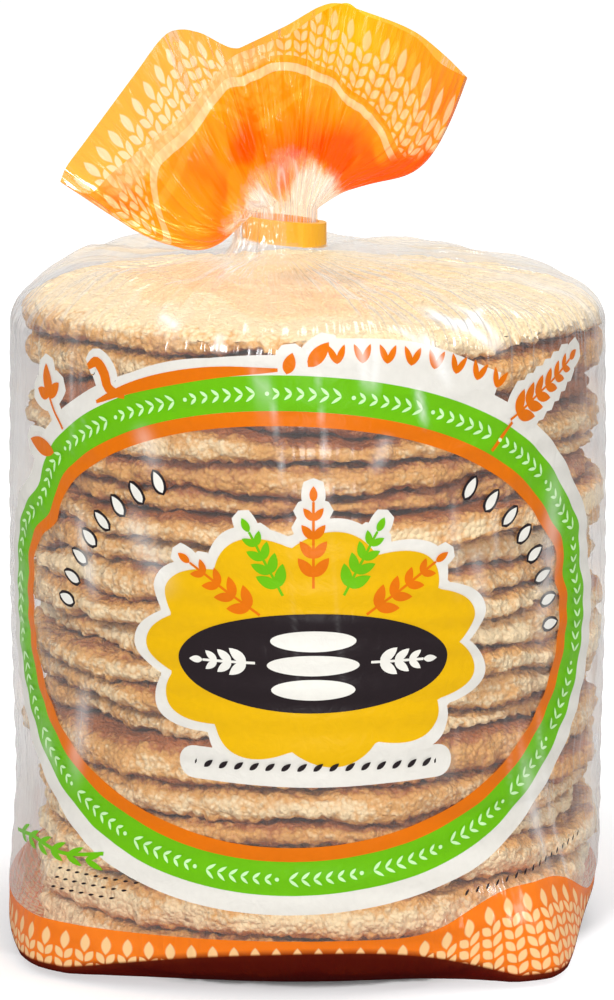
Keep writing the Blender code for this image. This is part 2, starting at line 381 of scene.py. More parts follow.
def side_radius(theta, z):
    """The film over the cake rims: one faint ridge for each cake."""
    tilt = 0.9 * np.sin(theta + 0.7) + 0.5 * np.sin(3.0 * theta + 0.35 * z)
    phase = 2.0 * math.pi * (z - tilt) / CAKE_PITCH
    hollow = 1.2 * np.exp(-((z - 70.0) / 60.0) ** 2)
    ridge = RIDGE * (1.0 - blend(112.0, 122.0, z))
    return BODY_RADIUS - 0.45 + hollow + ridge * np.cos(phase) + waves(theta, z)


def edge_height(theta):
    """Height of the bottom fold edge at this angle."""
    return EDGE_HIGH - (EDGE_HIGH - EDGE_LOW) * np.minimum(1.0, ear(theta) / 9.0)


def film_radius(theta, z):
    """Radius of the film at any height from the fold edge to the shoulder."""
    side = side_radius(theta, z)
    height = edge_height(theta)
    rise = np.clip((z - height) / (EAR_TOP - height), 0.0, 1.0)
    start = BASE_RADIUS + 0.6
    low = side + (start - side) * (1.0 - blend(0.0, 0.30, rise))
    return low + ear(theta) * (1.0 - blend(-0.05, 1.0, rise))


def tent_stations():
    """The tent's line as rows of (distance along, radius, height), finely cut."""
    line = catmull(TENT, np.linspace(0.0, 1.0, 97))
    steps = np.hypot(*np.diff(line, axis=0).T)
    return np.column_stack([np.concatenate([[0.0], np.cumsum(steps)]), line])


STATIONS = tent_stations()
TENT_LENGTH = STATIONS[-1, 0]


def crisp(value):
    """Turns smooth noise into folds with a sharp crest."""
    return 1.0 - 2.0 * np.abs(value)


def crease(theta, along):
    """Fine folds: long ones down the side, gathered ones toward the neck, which wander
    and fade, and small facets where the film is crumpled."""
    x = np.cos(theta)
    y = np.sin(theta)
    drift = theta + 0.14 * uneven(x * 2.3, y * 2.3, along * 0.045, 5)
    drift = drift + 0.04 * uneven(x * 6.0, y * 6.0, along * 0.12, 8)
    wide = np.interp(along - SHOULDER, STATIONS[:, 0], STATIONS[:, 1])
    facets = crisp(uneven(wide * x * 0.11, wide * y * 0.11, along * 0.11, 7))
    loose = blend(-0.5, 0.5, uneven(x * 2.6, y * 2.6, along * 0.05, 6))
    x = np.cos(drift)
    y = np.sin(drift)
    gather = blend(SHOULDER + 4.0, SHOULDER + 50.0, along)
    top = blend(SHOULDER - 6.0, SHOULDER + 10.0, along)
    side = 0.6 * crisp(uneven(x * 6.0, y * 6.0, along * 0.016, 1))
    side += 0.4 * crisp(uneven(x * 14.0, y * 14.0, along * 0.030, 2))
    radial = 1.1 * crisp(uneven(x * 4.2, y * 4.2, along * 0.035, 3)) * (0.3 + 0.7 * loose)
    radial += 0.35 * crisp(uneven(x * 11.0, y * 11.0, along * 0.05, 4)) * loose
    radial += 0.8 * facets * (1.0 - 0.7 * loose)
    side += 0.5 * (facets - 0.5) * loose
    return 0.35 * (side - 0.5) * (1.0 - top) + (radial - 0.6) * top * (1.0 + 1.2 * gather)


def milky(u, v):
    """How much painted sheen whitens the folded film at these places on it, from 0 to 1."""
    total = 0.0
    for u0, v0, u1, v1, width, strength in SHEEN_STREAKS:
        length = math.hypot(u1 - u0, v1 - v0)
        along = ((u - u0) * (u1 - u0) + (v - v0) * (v1 - v0)) / length ** 2
        aside = ((u - u0) * (v1 - v0) - (v - v0) * (u1 - u0)) / length
        ends = blend(0.0, 0.3, along) * blend(1.0, 0.6, along)
        total = total + strength * ends * np.exp(-(aside / width) ** 2)
    turn = u / WRAP_RADIUS
    x = np.cos(turn)
    y = np.sin(turn)
    lean = turn + 0.0012 * v
    line = 1.0 - np.abs(uneven(np.cos(lean) * 9.0, np.sin(lean) * 9.0, v * 0.012, 61))
    where = blend(0.05, 0.7, uneven(x * 2.1, y * 2.1, v * 0.045, 62))
    return np.clip(total + 0.35 * where * line ** 14, 0.0, 1.0)


def film_point(theta, along, lift=0.0, depth=0.0):
    """The film at this angle. along is the height on the side, and past the shoulder it
    goes on along the tent. lift stands off outward, and depth is that of the creases."""
    fold = depth * crease(theta, along)
    height = np.minimum(along, SHOULDER)
    out = film_radius(theta, height) + lift + fold * blend(6.0, 30.0, along)
    wall = stack(out * np.cos(theta), out * np.sin(theta), height)
    past = np.clip(along - SHOULDER, 0.0, TENT_LENGTH)
    radius = np.interp(past, STATIONS[:, 0], STATIONS[:, 1])
    level = np.interp(past, STATIONS[:, 0], STATIONS[:, 2])
    inward = blend(58.0, 14.0, radius)
    pleat = np.cos(TENT_PLEATS * theta + 0.9 * np.sin(2.0 * theta))
    swell = np.sin(math.pi * np.minimum(1.0, inward))
    rise = TENT_PLEAT * pleat * (0.35 + 0.65 * swell) * (1.0 - inward ** 6)
    rise = rise + LEFT_SHOULDER * blend(-0.2, -1.0, np.cos(theta)) * np.sin(
        math.pi * blend(59.5, 30.0, radius))
    slack = waves(theta, level) * (1.0 - inward)
    flat = 1.0 - 0.26 * blend(30.0, 9.6, radius)
    lean = blend(59.0, 44.0, radius)
    out = radius + slack + (lift + fold) * (1.0 - lean)
    up = level + rise * blend(59.0, 52.0, radius) + (lift + fold * (1.0 - inward ** 4)) * lean
    roof = stack(NECK_X * inward + out * np.cos(theta), out * flat * np.sin(theta), up)
    return np.where((along <= SHOULDER)[..., None], wall, roof)


def underside_point(theta, share):
    """The bottom of the film: share is 0 at its middle and 1 at the fold edge."""
    out = ear(theta)
    low = BASE_SPOT + 0.45 * out
    turn = np.clip((share - FLAT_SHARE) / (1.0 - FLAT_SHARE), 0.0, 1.0)
    radius = low * np.minimum(share / FLAT_SHARE, 1.0)
    radius = radius + (BASE_RADIUS + out - low) * np.sin(turn * math.pi / 2.0)
    z = edge_height(theta) * (1.0 - np.cos(turn * math.pi / 2.0)) * (0.8 + 0.2 * turn)
    return stack(radius * np.cos(theta), radius * np.sin(theta), z)


def neck_point(theta, z):
    x = NECK_A * np.cos(theta)
    return stack(NECK_X + x, NECK_B * np.sin(theta), z + TAPE_TILT * x)


def band_height(theta, z):
    """Where the printed band's own height lies on the film, which is pulled up toward the
    corner ear on the right."""
    turn = (np.degrees(theta) - RIGHT_EAR + 180.0) % 360.0 - 180.0
    return z - BAND_RISE * np.exp(-np.abs(turn / 17.0) ** 3)


# ---------------------------------------------------------------- shape of the mouth

def mouth_edge(turn):
    """The mouth's edge: turn goes from 0 at the left end by the front to 1."""
    front = catmull(MOUTH_FRONT, np.clip(turn * 2.0, 0.0, 1.0))
    back = catmull(MOUTH_BACK, np.clip((1.0 - turn) * 2.0, 0.0, 1.0))
    return np.where((turn <= 0.5)[..., None], front, back)


def folded_in(turn):
    """How much of the mouth's edge is turned inward at this place."""
    left = TURNED_LEFT * blend(0.03, 0.11, turn) * blend(0.36, 0.27, turn)
    return left - 2.0 * blend(0.20, 0.24, turn) * blend(0.36, 0.27, turn)


def frill_point(turn, t):
    """The flared mouth: t is 0 at the neck and 1 at the edge."""
    theta = math.pi + 2.0 * math.pi * turn
    start = neck_point(theta, NECK_HIGH)
    reach = mouth_edge(turn) - start
    left = reach[..., 0] < 0.0
    level = np.abs(reach[..., 0]) / np.hypot(reach[..., 0], reach[..., 2])
    side = -np.sin(theta)
    point = start + reach * t[..., None]
    depth = np.where(left, MOUTH_DROOP["left"][0], MOUTH_DROOP["right"][0])
    skew = np.where(left, MOUTH_DROOP["left"][1], MOUTH_DROOP["right"][1])
    sag = np.sin(math.pi * np.clip(t, 0.0, 1.0) ** skew) * level ** 1.5
    pleat = np.cos(2.0 * math.pi * MOUTH_PLEATS * turn + 0.8 * t)
    size = MOUTH_PLEAT * np.sin(math.pi * np.minimum(1.0, 0.12 + 0.72 * t))
    point[..., 2] -= depth * sag
    point[..., 1] -= np.where(left, MOUTH_FORWARD * sag, 0.0)
    point[..., 1] -= MOUTH_BELLY * side * np.sin(math.pi * t) + size * pleat * side
    fold = crisp(uneven(6.2 * np.cos(theta + 0.5 * t), 6.2 * np.sin(theta), 1.6 * t, 63)) - 0.5
    fold = fold + 0.5 * crisp(uneven(14.0 * np.cos(theta), 14.0 * np.sin(theta), 3.0 * t, 64))
    apart = np.abs(side) ** 0.7
    point[..., 1] -= MOUTH_FOLD * fold * np.sin(math.pi * np.clip(0.08 + 0.8 * t, 0.0, 1.0)) * apart
    point[..., 2] += 0.35 * MOUTH_FOLD * fold * np.sin(math.pi * np.clip(t, 0.0, 1.0))
    return point


# ---------------------------------------------------------------- mesh helpers

def finished(name, mesh, material, shades=True):
    """Links a mesh as a piece at the origin, on the one body, with its finish. Thin film
    shades nothing."""
    piece = bpy.data.objects.new(name, mesh)
    piece.visible_shadow = shades
    bpy.context.scene.collection.objects.link(piece)
    mesh.materials.append(material)
    mesh.shade_smooth()
    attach(piece, "root")
    return piece


def coordinates(mesh):
    """The places of a mesh's points as rows of x, y and z."""
    flat = np.empty(len(mesh.vertices) * 3, np.float32)
    mesh.vertices.foreach_get("co", flat)
    return flat.reshape(-1, 3).astype(float)


def place_points(mesh, points):
    """Moves a mesh's points to these places, given in millimetres."""
    mesh.vertices.foreach_set("co", (points * MM).astype(np.float32).ravel())


def mark_points(mesh, name, values):
    """Stores one value for each point, which materials read."""
    layer = mesh.attributes.new(name, "FLOAT", "POINT")
    layer.data.foreach_set("value", values.astype(np.float32))


def mapped_grid(name, columns, rows, place, chart, closed, marks=None):
    """A grid whose unit square is laid over a shape. place gives points in millimetres,
    chart their UVs and marks the values that they store, all from (across, up). A closed
    grid is a tube."""
    mesh = bmesh.new()
    bmesh.ops.create_grid(mesh, x_segments=columns, y_segments=rows, size=0.5)
    data = bpy.data.meshes.new(name)
    mesh.to_mesh(data)
    mesh.free()
    flat = coordinates(data)
    across = flat[:, 0] + 0.5
    up = flat[:, 1] + 0.5
    layer = data.uv_layers.new(name="UVMap")
    corners = np.empty(len(data.loops), np.int32)
    data.loops.foreach_get("vertex_index", corners)
    layer.uv.foreach_set("vector", chart(across, up)[corners].astype(np.float32).ravel())
    place_points(data, place(across, up))
    for label, value in (marks or {}).items():
        mark_points(data, label, value(across, up))
    if closed:
        mesh = bmesh.new()
        mesh.from_mesh(data)
        bmesh.ops.remove_doubles(mesh, verts=mesh.verts, dist=1e-6)
        mesh.to_mesh(data)
        mesh.free()
    data.update()
    return data


# ---------------------------------------------------------------- node helpers

def add(tree, kind, links=None, **settings):
    """A node with its settings, and its inputs set from values or linked from sockets."""
    made = tree.nodes.new(kind)
    for name, value in settings.items():
        setattr(made, name, value)
    for key, value in (links or {}).items():
        socket = made.inputs[key]
        if isinstance(value, bpy.types.NodeSocket):
            tree.links.new(value, socket)
        else:
            socket.default_value = value
    return made


def math_node(tree, operation, first, second=0.0, third=0.0, clamp=False):
    made = add(tree, "ShaderNodeMath", {0: first, 1: second, 2: third},
               operation=operation, use_clamp=clamp)
    return made.outputs[0]


def mix_colour(tree, factor, first, second, how="MIX"):
    made = add(tree, "ShaderNodeMix", {0: factor, 6: first, 7: second},
               data_type="RGBA", blend_type=how, clamp_factor=True)
    return made.outputs[2]


def ramp(tree, value, low, high):
    """A smooth step between two values."""
    made = add(tree, "ShaderNodeMapRange", {"Value": value, "From Min": low, "From Max": high},
               interpolation_type="SMOOTHSTEP")
    return made.outputs["Result"]


def new_material(name):
    made = bpy.data.materials.new(name)
    made.use_nodes = True
    made.node_tree.nodes.clear()
    return made, made.node_tree


def rgba(colour):
    return (colour[0], colour[1], colour[2], 1.0)


# ---------------------------------------------------------------- shared effects

def puffed_crumb_group():
    """Grain of puffed crumb: a speckle for the colour and a height for the bumps."""
    name = "Puffed crumb"
    if name in bpy.data.node_groups:
        return bpy.data.node_groups[name]
    tree = bpy.data.node_groups.new(name, "ShaderNodeTree")
    tree.interface.new_socket("Grain size", in_out="INPUT", socket_type="NodeSocketFloat")
    tree.interface.new_socket("Speckle", in_out="OUTPUT", socket_type="NodeSocketFloat")
    tree.interface.new_socket("Patches", in_out="OUTPUT", socket_type="NodeSocketFloat")
    tree.interface.new_socket("Height", in_out="OUTPUT", socket_type="NodeSocketFloat")
    inner = add(tree, "NodeGroupInput")
    outer = add(tree, "NodeGroupOutput")
    place = add(tree, "ShaderNodeTexCoord").outputs["Object"]
    scale = math_node(tree, "DIVIDE", 1.0, inner.outputs["Grain size"])
    cells = add(tree, "ShaderNodeTexVoronoi", {"Vector": place, "Scale": scale},
                feature="F1")
    fine = add(tree, "ShaderNodeTexNoise", {"Vector": place, "Scale": 2400.0, "Detail": 2.0,
                                            "Roughness": 0.7})
    wide = add(tree, "ShaderNodeTexNoise", {"Vector": place, "Scale": 120.0, "Detail": 3.0,
                                            "Roughness": 0.6})
    bump = math_node(tree, "SUBTRACT", 1.0, cells.outputs["Distance"])
    height = math_node(tree, "MULTIPLY_ADD", fine.outputs["Fac"], 0.45, bump)
    speckle = math_node(tree, "MULTIPLY_ADD", cells.outputs["Distance"], 0.55,
                        math_node(tree, "MULTIPLY", fine.outputs["Fac"], 0.6))
    tree.links.new(speckle, outer.inputs["Speckle"])
    tree.links.new(wide.outputs["Fac"], outer.inputs["Patches"])
    tree.links.new(height, outer.inputs["Height"])
    return tree


def wheat_ears_group():
    """A row of standing wheat ears. Across runs along the row and Below is the distance
    under the tips, both in millimetres."""
    name = "Wheat ears"
    if name in bpy.data.node_groups:
        return bpy.data.node_groups[name]
    tree = bpy.data.node_groups.new(name, "ShaderNodeTree")
    for label in ("Across", "Below", "Pitch", "Length"):
        tree.interface.new_socket(label, in_out="INPUT", socket_type="NodeSocketFloat")
    tree.interface.new_socket("Ear", in_out="OUTPUT", socket_type="NodeSocketFloat")
    inner = add(tree, "NodeGroupInput")
    outer = add(tree, "NodeGroupOutput")
    across = inner.outputs["Across"]
    below = inner.outputs["Below"]
    pitch = inner.outputs["Pitch"]
    half = math_node(tree, "MULTIPLY", pitch, 0.5)
    cell = math_node(tree, "SUBTRACT", math_node(tree, "FLOORED_MODULO", across, pitch), half)
    away = math_node(tree, "ABSOLUTE", cell)

    def grain(dx, dy, lean, long, wide):
        """A leaning grain with pointed ends: 1 inside it, 0 outside."""
        cosine = math.cos(lean)
        sine = math.sin(lean)
        along = math_node(tree, "MULTIPLY_ADD", dx, cosine, math_node(tree, "MULTIPLY", dy, sine))
        beside = math_node(tree, "MULTIPLY_ADD", dy, cosine,
                           math_node(tree, "MULTIPLY", dx, -sine))
        a = math_node(tree, "POWER", math_node(tree, "MULTIPLY", along, 1.0 / long), 2.0)
        b = math_node(tree, "ABSOLUTE", math_node(tree, "MULTIPLY", beside, 1.0 / wide))
        return math_node(tree, "MULTIPLY", math_node(
            tree, "SUBTRACT", 1.0, math_node(tree, "ADD", a, b)), 4.0, clamp=True)

    tip = grain(away, math_node(tree, "SUBTRACT", below, 1.6), math.radians(90.0), 1.9, 1.05)
    started = math_node(tree, "GREATER_THAN", below, 3.0)
    ended = math_node(tree, "LESS_THAN", below, inner.outputs["Length"])
    step = math_node(tree, "FLOORED_MODULO", math_node(tree, "SUBTRACT", below, 3.0), 2.25)
    pair = grain(math_node(tree, "SUBTRACT", away, 0.94), math_node(tree, "SUBTRACT", step, 1.1),
                 math.radians(-55.0), 1.42, 0.80)
    row = math_node(tree, "MULTIPLY", math_node(tree, "MULTIPLY", pair, started), ended)
    tree.links.new(math_node(tree, "MAXIMUM", tip, row), outer.inputs["Ear"])
    return tree


def film_wrinkle_group():
    """Fine wrinkles of thin film, drawn out along the second UV axis."""
    name = "Film wrinkles"
    if name in bpy.data.node_groups:
        return bpy.data.node_groups[name]
    tree = bpy.data.node_groups.new(name, "ShaderNodeTree")
    tree.interface.new_socket("Stretch", in_out="INPUT", socket_type="NodeSocketFloat")
    tree.interface.new_socket("Height", in_out="OUTPUT", socket_type="NodeSocketFloat")
    inner = add(tree, "NodeGroupInput")
    outer = add(tree, "NodeGroupOutput")
    chart = add(tree, "ShaderNodeUVMap", uv_map="UVMap").outputs["UV"]
    parts = add(tree, "ShaderNodeSeparateXYZ", {0: chart})
    drawn = math_node(tree, "MULTIPLY", parts.outputs["Y"], inner.outputs["Stretch"])
    place = add(tree, "ShaderNodeCombineXYZ", {"X": parts.outputs["X"], "Y": drawn}).outputs[0]
    wide = add(tree, "ShaderNodeTexNoise", {"Vector": place, "Scale": 0.16, "Detail": 2.5,
                                            "Roughness": 0.6})
    crest = math_node(tree, "ABSOLUTE", math_node(tree, "SUBTRACT", wide.outputs["Fac"], 0.5))
    fold = math_node(tree, "POWER", math_node(tree, "SUBTRACT", 1.0, crest), 9.0)
    tree.links.new(fold, outer.inputs["Height"])
    return tree


# ---------------------------------------------------------------- materials

def cake_material(settings):
    """Pale puffed crumb, golden on its slopes and brown where it was toasted; the same browns are
    painted in as shade where cakes meet.
    """
    made, tree = new_material("Puffed cake")
    group = add(tree, "ShaderNodeGroup", node_tree=puffed_crumb_group())
    group.inputs["Grain size"].default_value = GRAIN
    # toast holds toasting and painted shade alike
    toast = add(tree, "ShaderNodeAttribute", attribute_name="toast").outputs["Fac"]
    patches = math_node(tree, "SUBTRACT", group.outputs["Patches"], 0.5)
    speckle = math_node(tree, "SUBTRACT", group.outputs["Speckle"], 0.5)
    tone = math_node(tree, "MULTIPLY_ADD", patches, 0.9, toast)
    tone = math_node(tree, "MULTIPLY_ADD", speckle, 0.8, tone)
    warm = mix_colour(tree, ramp(tree, tone, 0.0, 0.55), rgba(settings.crumb),
                      rgba(settings.golden))
    brown = mix_colour(tree, ramp(tree, tone, 0.55, 1.15), warm, rgba(settings.toasted_and_shaded))
    bump = add(tree, "ShaderNodeBump", {"Height": group.outputs["Height"]})
    bump.inputs["Strength"].default_value = 1.0
    bump.inputs["Distance"].default_value = 0.0006
    shader = add(tree, "ShaderNodeBsdfPrincipled", {"Base Color": brown,
                                                    "Normal": bump.outputs["Normal"]})
    shader.inputs["Roughness"].default_value = 0.50
    shader.inputs["Specular IOR Level"].default_value = 0.45
    out = add(tree, "ShaderNodeOutputMaterial")
    tree.links.new(shader.outputs[0], out.inputs["Surface"])
    return made


def film_material(name, chart_name, ink, shade_ink, share, gloss, stretch, roughened,
                  under_shade_share=0.0, plain=(0.985, 0.985, 0.985), pale_ink=(1.0, 0.64, 0.34)):
    """Clear film with orange ink and pale wheat ears. chart_name tells where the ink lies
    from the UV map, which holds millimetres across and up. share is how much of the light
    the ink stops and gloss how much the film mirrors. Where the piece has them, deep tells
    where painted shade darkens the ink, where layers gather or the film faces down, and
    shade_ink is that shade's colour; sunny tells where light shines through, crinkle where
    the film is crumpled, milky where painted sheen whitens the folded film and hem
    where its edge is turned. plain tints what passes the film without ink and pale_ink is
    the ears' own colour."""
    made, tree = new_material(name)
    inks = bpy.context.scene.ricebag_print
    haze = bpy.context.scene.ricebag_film.haze
    chart = add(tree, "ShaderNodeUVMap", uv_map="UVMap").outputs["UV"]
    parts = add(tree, "ShaderNodeSeparateXYZ", {0: chart})
    orange, pale = chart_name(tree, parts.outputs["X"], parts.outputs["Y"])
    deep = add(tree, "ShaderNodeAttribute", attribute_name="deep").outputs["Fac"]
    # Painted shade on the underside: only its outer face is darkened
    if under_shade_share:
        inner_face = add(tree, "ShaderNodeNewGeometry").outputs["Backfacing"]
        deep = math_node(tree, "MULTIPLY", deep, math_node(tree, "SUBTRACT", 1.0, inner_face))
    sunny = add(tree, "ShaderNodeAttribute", attribute_name="sunny").outputs["Fac"]
    wrinkles = add(tree, "ShaderNodeGroup", node_tree=film_wrinkle_group())
    wrinkles.inputs["Stretch"].default_value = stretch
    bump = add(tree, "ShaderNodeBump", {"Height": wrinkles.outputs["Height"]})
    crinkle = add(tree, "ShaderNodeAttribute", attribute_name="crinkle").outputs["Fac"]
    tree.links.new(math_node(tree, "MULTIPLY_ADD", crinkle, 0.75, roughened),
                   bump.inputs["Strength"])
    bump.inputs["Distance"].default_value = 0.0012
    pale = math_node(tree, "MULTIPLY", pale, ramp(tree, deep, 1.0, 0.6))
    hem = add(tree, "ShaderNodeAttribute", attribute_name="hem").outputs["Fac"]
    pale = math_node(tree, "MAXIMUM", pale, hem)
    # Where deep marks painted shade, the ink and the light it passes turn deeper red or dark
    printed = mix_colour(tree, deep, rgba(inks.film_tint), rgba(inks.fold_shade_tint))
    printed = mix_colour(tree, sunny, printed, rgba(inks.sunny_tint))
    tint = mix_colour(tree, orange, rgba(plain), printed)
    tint = mix_colour(tree, pale, tint, (1.0, 0.76, 0.44, 1.0))
    inked = mix_colour(tree, deep, rgba(ink), rgba(shade_ink))
    body = mix_colour(tree, orange, (0.95, 0.95, 0.95, 1.0), inked)
    body = mix_colour(tree, pale, body, rgba(pale_ink))
    glance = add(tree, "ShaderNodeFresnel", {"Normal": bump.outputs["Normal"]})
    glance.inputs["IOR"].default_value = 1.5
    # Painted sheen: the film turns whiter along its sheen streaks, on top of its own haze
    sheen_share = add(tree, "ShaderNodeAttribute", attribute_name="milky").outputs["Fac"]
    sheen_share = math_node(tree, "MULTIPLY_ADD", sheen_share, 0.80, haze)
    veil = math_node(tree, "MULTIPLY_ADD", glance.outputs[0], 0.45, sheen_share, clamp=True)
    solid = math_node(tree, "MAXIMUM", veil, math_node(tree, "MULTIPLY", orange, share))
    solid = math_node(tree, "MAXIMUM", solid, math_node(tree, "MULTIPLY", pale, share + 0.15))
    # The painted-shade underside is made nearly opaque and dark
    if under_shade_share:
        facing_down = math_node(tree, "MULTIPLY", deep, under_shade_share)
        solid = math_node(tree, "MAXIMUM", solid, facing_down)
    clear = add(tree, "ShaderNodeBsdfTransparent", {"Color": tint})
    layer = add(tree, "ShaderNodeBsdfPrincipled", {"Base Color": body,
                                                   "Normal": bump.outputs["Normal"]})
    layer.inputs["Roughness"].default_value = 0.5
    layer.inputs["Specular IOR Level"].default_value = 0.0
    seen = add(tree, "ShaderNodeMixShader", {0: solid, 1: clear.outputs[0],
                                             2: layer.outputs[0]})
    mirror = add(tree, "ShaderNodeBsdfPrincipled", {"Normal": bump.outputs["Normal"]})
    mirror.inputs["Base Color"].default_value = (0.95, 0.95, 0.96, 1.0)
    mirror.inputs["Metallic"].default_value = 1.0
    mirror.inputs["Roughness"].default_value = 0.17
    mirrored = math_node(tree, "MINIMUM", math_node(
        tree, "MULTIPLY", glance.outputs[0], gloss), 0.35)
    if under_shade_share:
        mirrored = math_node(tree, "MULTIPLY", mirrored, ramp(tree, deep, 1.1, 0.3))
        mirrored = math_node(tree, "MULTIPLY", mirrored, ramp(tree, orange, 1.8, 0.0))
    shiny = add(tree, "ShaderNodeMixShader", {0: mirrored, 1: seen.outputs[0],
                                              2: mirror.outputs[0]})
    out = add(tree, "ShaderNodeOutputMaterial")
    tree.links.new(shiny.outputs[0], out.inputs["Surface"])
    return made


def clear_band(tree, across, up):
    """No ink at all."""
    nothing = math_node(tree, "MULTIPLY", across, 0.0)
    return nothing, nothing


def base_band(tree, across, up):
    """The orange band round the bottom, with its ears."""
    orange = math_node(tree, "LESS_THAN", up, BAND_TOP)
    ears = add(tree, "ShaderNodeGroup", {"Across": across}, node_tree=wheat_ears_group())
    tree.links.new(math_node(tree, "SUBTRACT", BAND_TOP - 1.6, up), ears.inputs["Below"])
    ears.inputs["Pitch"].default_value = 4.05
    ears.inputs["Length"].default_value = 30.0
    return orange, math_node(tree, "MULTIPLY", ears.outputs["Ear"], orange)


def mouth_band(tree, across, up):
    """The orange mouth: ears under the edge, a pale line, then plain ink to the neck.
    up is the distance from the edge."""
    fade = add(tree, "ShaderNodeTexNoise", {"Scale": 0.35, "Detail": 4.0, "Roughness": 0.7})
    tree.links.new(add(tree, "ShaderNodeUVMap", uv_map="UVMap").outputs["UV"],
                   fade.inputs["Vector"])
    rough = math_node(tree, "MULTIPLY_ADD", fade.outputs["Fac"], 7.0, up)
    orange = ramp(tree, rough, 38.0, 33.5)
    ears = add(tree, "ShaderNodeGroup", {"Across": across}, node_tree=wheat_ears_group())
    tree.links.new(math_node(tree, "SUBTRACT", up, 2.0), ears.inputs["Below"])
    ears.inputs["Pitch"].default_value = 4.1
    ears.inputs["Length"].default_value = 10.6
    line = math_node(tree, "COMPARE", up, 14.9, 0.85)
    return orange, math_node(tree, "MAXIMUM", ears.outputs["Ear"], line)


def ink_material(name, colour):
    """One opaque ink of the label, glossy as the film over it, and whitened by painted sheen."""
    made, tree = new_material(name)
    place = add(tree, "ShaderNodeTexCoord").outputs["Object"]
    mottle = add(tree, "ShaderNodeTexNoise", {"Vector": place, "Scale": 700.0, "Detail": 3.0})
    shade = mix_colour(tree, math_node(tree, "MULTIPLY", mottle.outputs["Fac"], 0.10),
                       rgba(colour), (0.0, 0.0, 0.0, 1.0))
    # Painted sheen: the ink is whitened along the film's sheen streaks
    sheen_share = add(tree, "ShaderNodeAttribute", attribute_name="milky").outputs["Fac"]
    shade = mix_colour(tree, math_node(tree, "MULTIPLY", sheen_share, 0.75), shade,
                       (0.92, 0.92, 0.90, 1.0))
    ripple = add(tree, "ShaderNodeTexNoise", {"Vector": place, "Scale": 260.0, "Detail": 3.0,
                                              "Distortion": 0.8})
    bump = add(tree, "ShaderNodeBump", {"Height": ripple.outputs["Fac"]})
    bump.inputs["Strength"].default_value = 0.30
    bump.inputs["Distance"].default_value = 0.0008
    shader = add(tree, "ShaderNodeBsdfPrincipled", {"Base Color": shade,
                                                    "Normal": bump.outputs["Normal"]})
    shader.inputs["Roughness"].default_value = 0.30
    shader.inputs["Specular IOR Level"].default_value = 0.12
    out = add(tree, "ShaderNodeOutputMaterial")
    tree.links.new(shader.outputs[0], out.inputs["Surface"])
    return made


def tape_material():
    """Satin yellow tape, a little creased and unevenly pressed."""
    made, tree = new_material("Yellow tape")
    place = add(tree, "ShaderNodeTexCoord").outputs["Object"]
    stretch = add(tree, "ShaderNodeMapping", {"Vector": place, "Scale": (1.0, 1.0, 0.25)})
    wide = add(tree, "ShaderNodeTexNoise", {"Vector": stretch.outputs[0], "Scale": 240.0,
                                            "Detail": 4.0, "Roughness": 0.6})
    fine = add(tree, "ShaderNodeTexNoise", {"Vector": place, "Scale": 1500.0, "Detail": 3.0})
    colour = mix_colour(tree, wide.outputs["Fac"], (0.80, 0.42, 0.006, 1.0),
                        (0.66, 0.28, 0.002, 1.0))
    height = math_node(tree, "MULTIPLY_ADD", fine.outputs["Fac"], 0.2, wide.outputs["Fac"])
    bump = add(tree, "ShaderNodeBump", {"Height": height})
    bump.inputs["Strength"].default_value = 0.6
    bump.inputs["Distance"].default_value = 0.0008
    gloss = add(tree, "ShaderNodeMapRange", {"Value": fine.outputs["Fac"], "To Min": 0.30,
                                             "To Max": 0.50})
    shader = add(tree, "ShaderNodeBsdfPrincipled", {
        "Base Color": colour, "Roughness": gloss.outputs["Result"],
        "Normal": bump.outputs["Normal"]})
    out = add(tree, "ShaderNodeOutputMaterial")
    tree.links.new(shader.outputs[0], out.inputs["Surface"])
    return made


# ---------------------------------------------------------------- cakes

def rim_profile(over, under, inner):
    """Half a cake's section as (distance in from the rim, height share), from the middle
    of the top round the rim to the middle of the bottom."""
    points = [(NOMINAL_RADIUS, 1.0)]
    points += [(depth, 1.0) for depth in inner]
    for step in range(over + 1):
        a = math.pi / 2.0 * step / over
        across = max(0.0, math.sin(a)) ** RIM_SQUARE
        up = max(0.0, math.cos(a)) ** RIM_SQUARE
        points.append((RIM_TOP * (1.0 - across), BULGE + (1.0 - BULGE) * up))
    for step in range(1, under + 1):
        a = math.pi / 2.0 * step / under
        across = max(0.0, math.cos(a)) ** RIM_SQUARE
        down = math.sin(a) ** RIM_SQUARE
        points.append((RIM_UNDER * (1.0 - across), BULGE * (1.0 - down)))
    points += [(depth, 0.0) for depth in (7.0, 14.0, 30.0)]
    points.append((NOMINAL_RADIUS, 0.0))
    return points


def seam(index, x, y):
    """Height of the seam with this number, with its waves and its tilt."""
    inner = min(index, len(SEAMS) - 1 - index)
    loose = min(1.0, 0.35 + 0.35 * inner)
    wave = 2.0 * uneven(x * 1.3, y * 1.3, index * 0.45, 11)
    wave += 1.5 * uneven(x * 1.9, y * 1.9, index * 3.7, 18)
    wave += 1.0 * uneven(x * 4.4, y * 4.4, index * 5.1, 12)
    height = SEAMS[index] + wave * loose
    if index == len(SEAMS) - 1:
        height = height + TOP_RISE * blend(-0.7, 0.6, 0.75 * y - 0.65 * x)
    return height


def cake_radius(index, x, y, size):
    """How far this cake reaches: each has its own size, place and lumps."""
    own = 2.2 * float(uneven(index * 2.37, 7.1, 0.3, 13)) - SET_BACK.get(index, (0.0, 0.0))[0]
    push = 2.8 * float(uneven(index * 1.73, 2.2, 9.4, 14)) * x
    push = push + 2.8 * float(uneven(index * 1.91, 6.6, 4.1, 15)) * y
    radius = size + own + push + 1.4 * uneven(x * 3.4, y * 3.4, index * 4.4, 16)
    return np.maximum(radius, TOP_CAKE_LEAST) if index == len(SEAMS) - 2 else radius


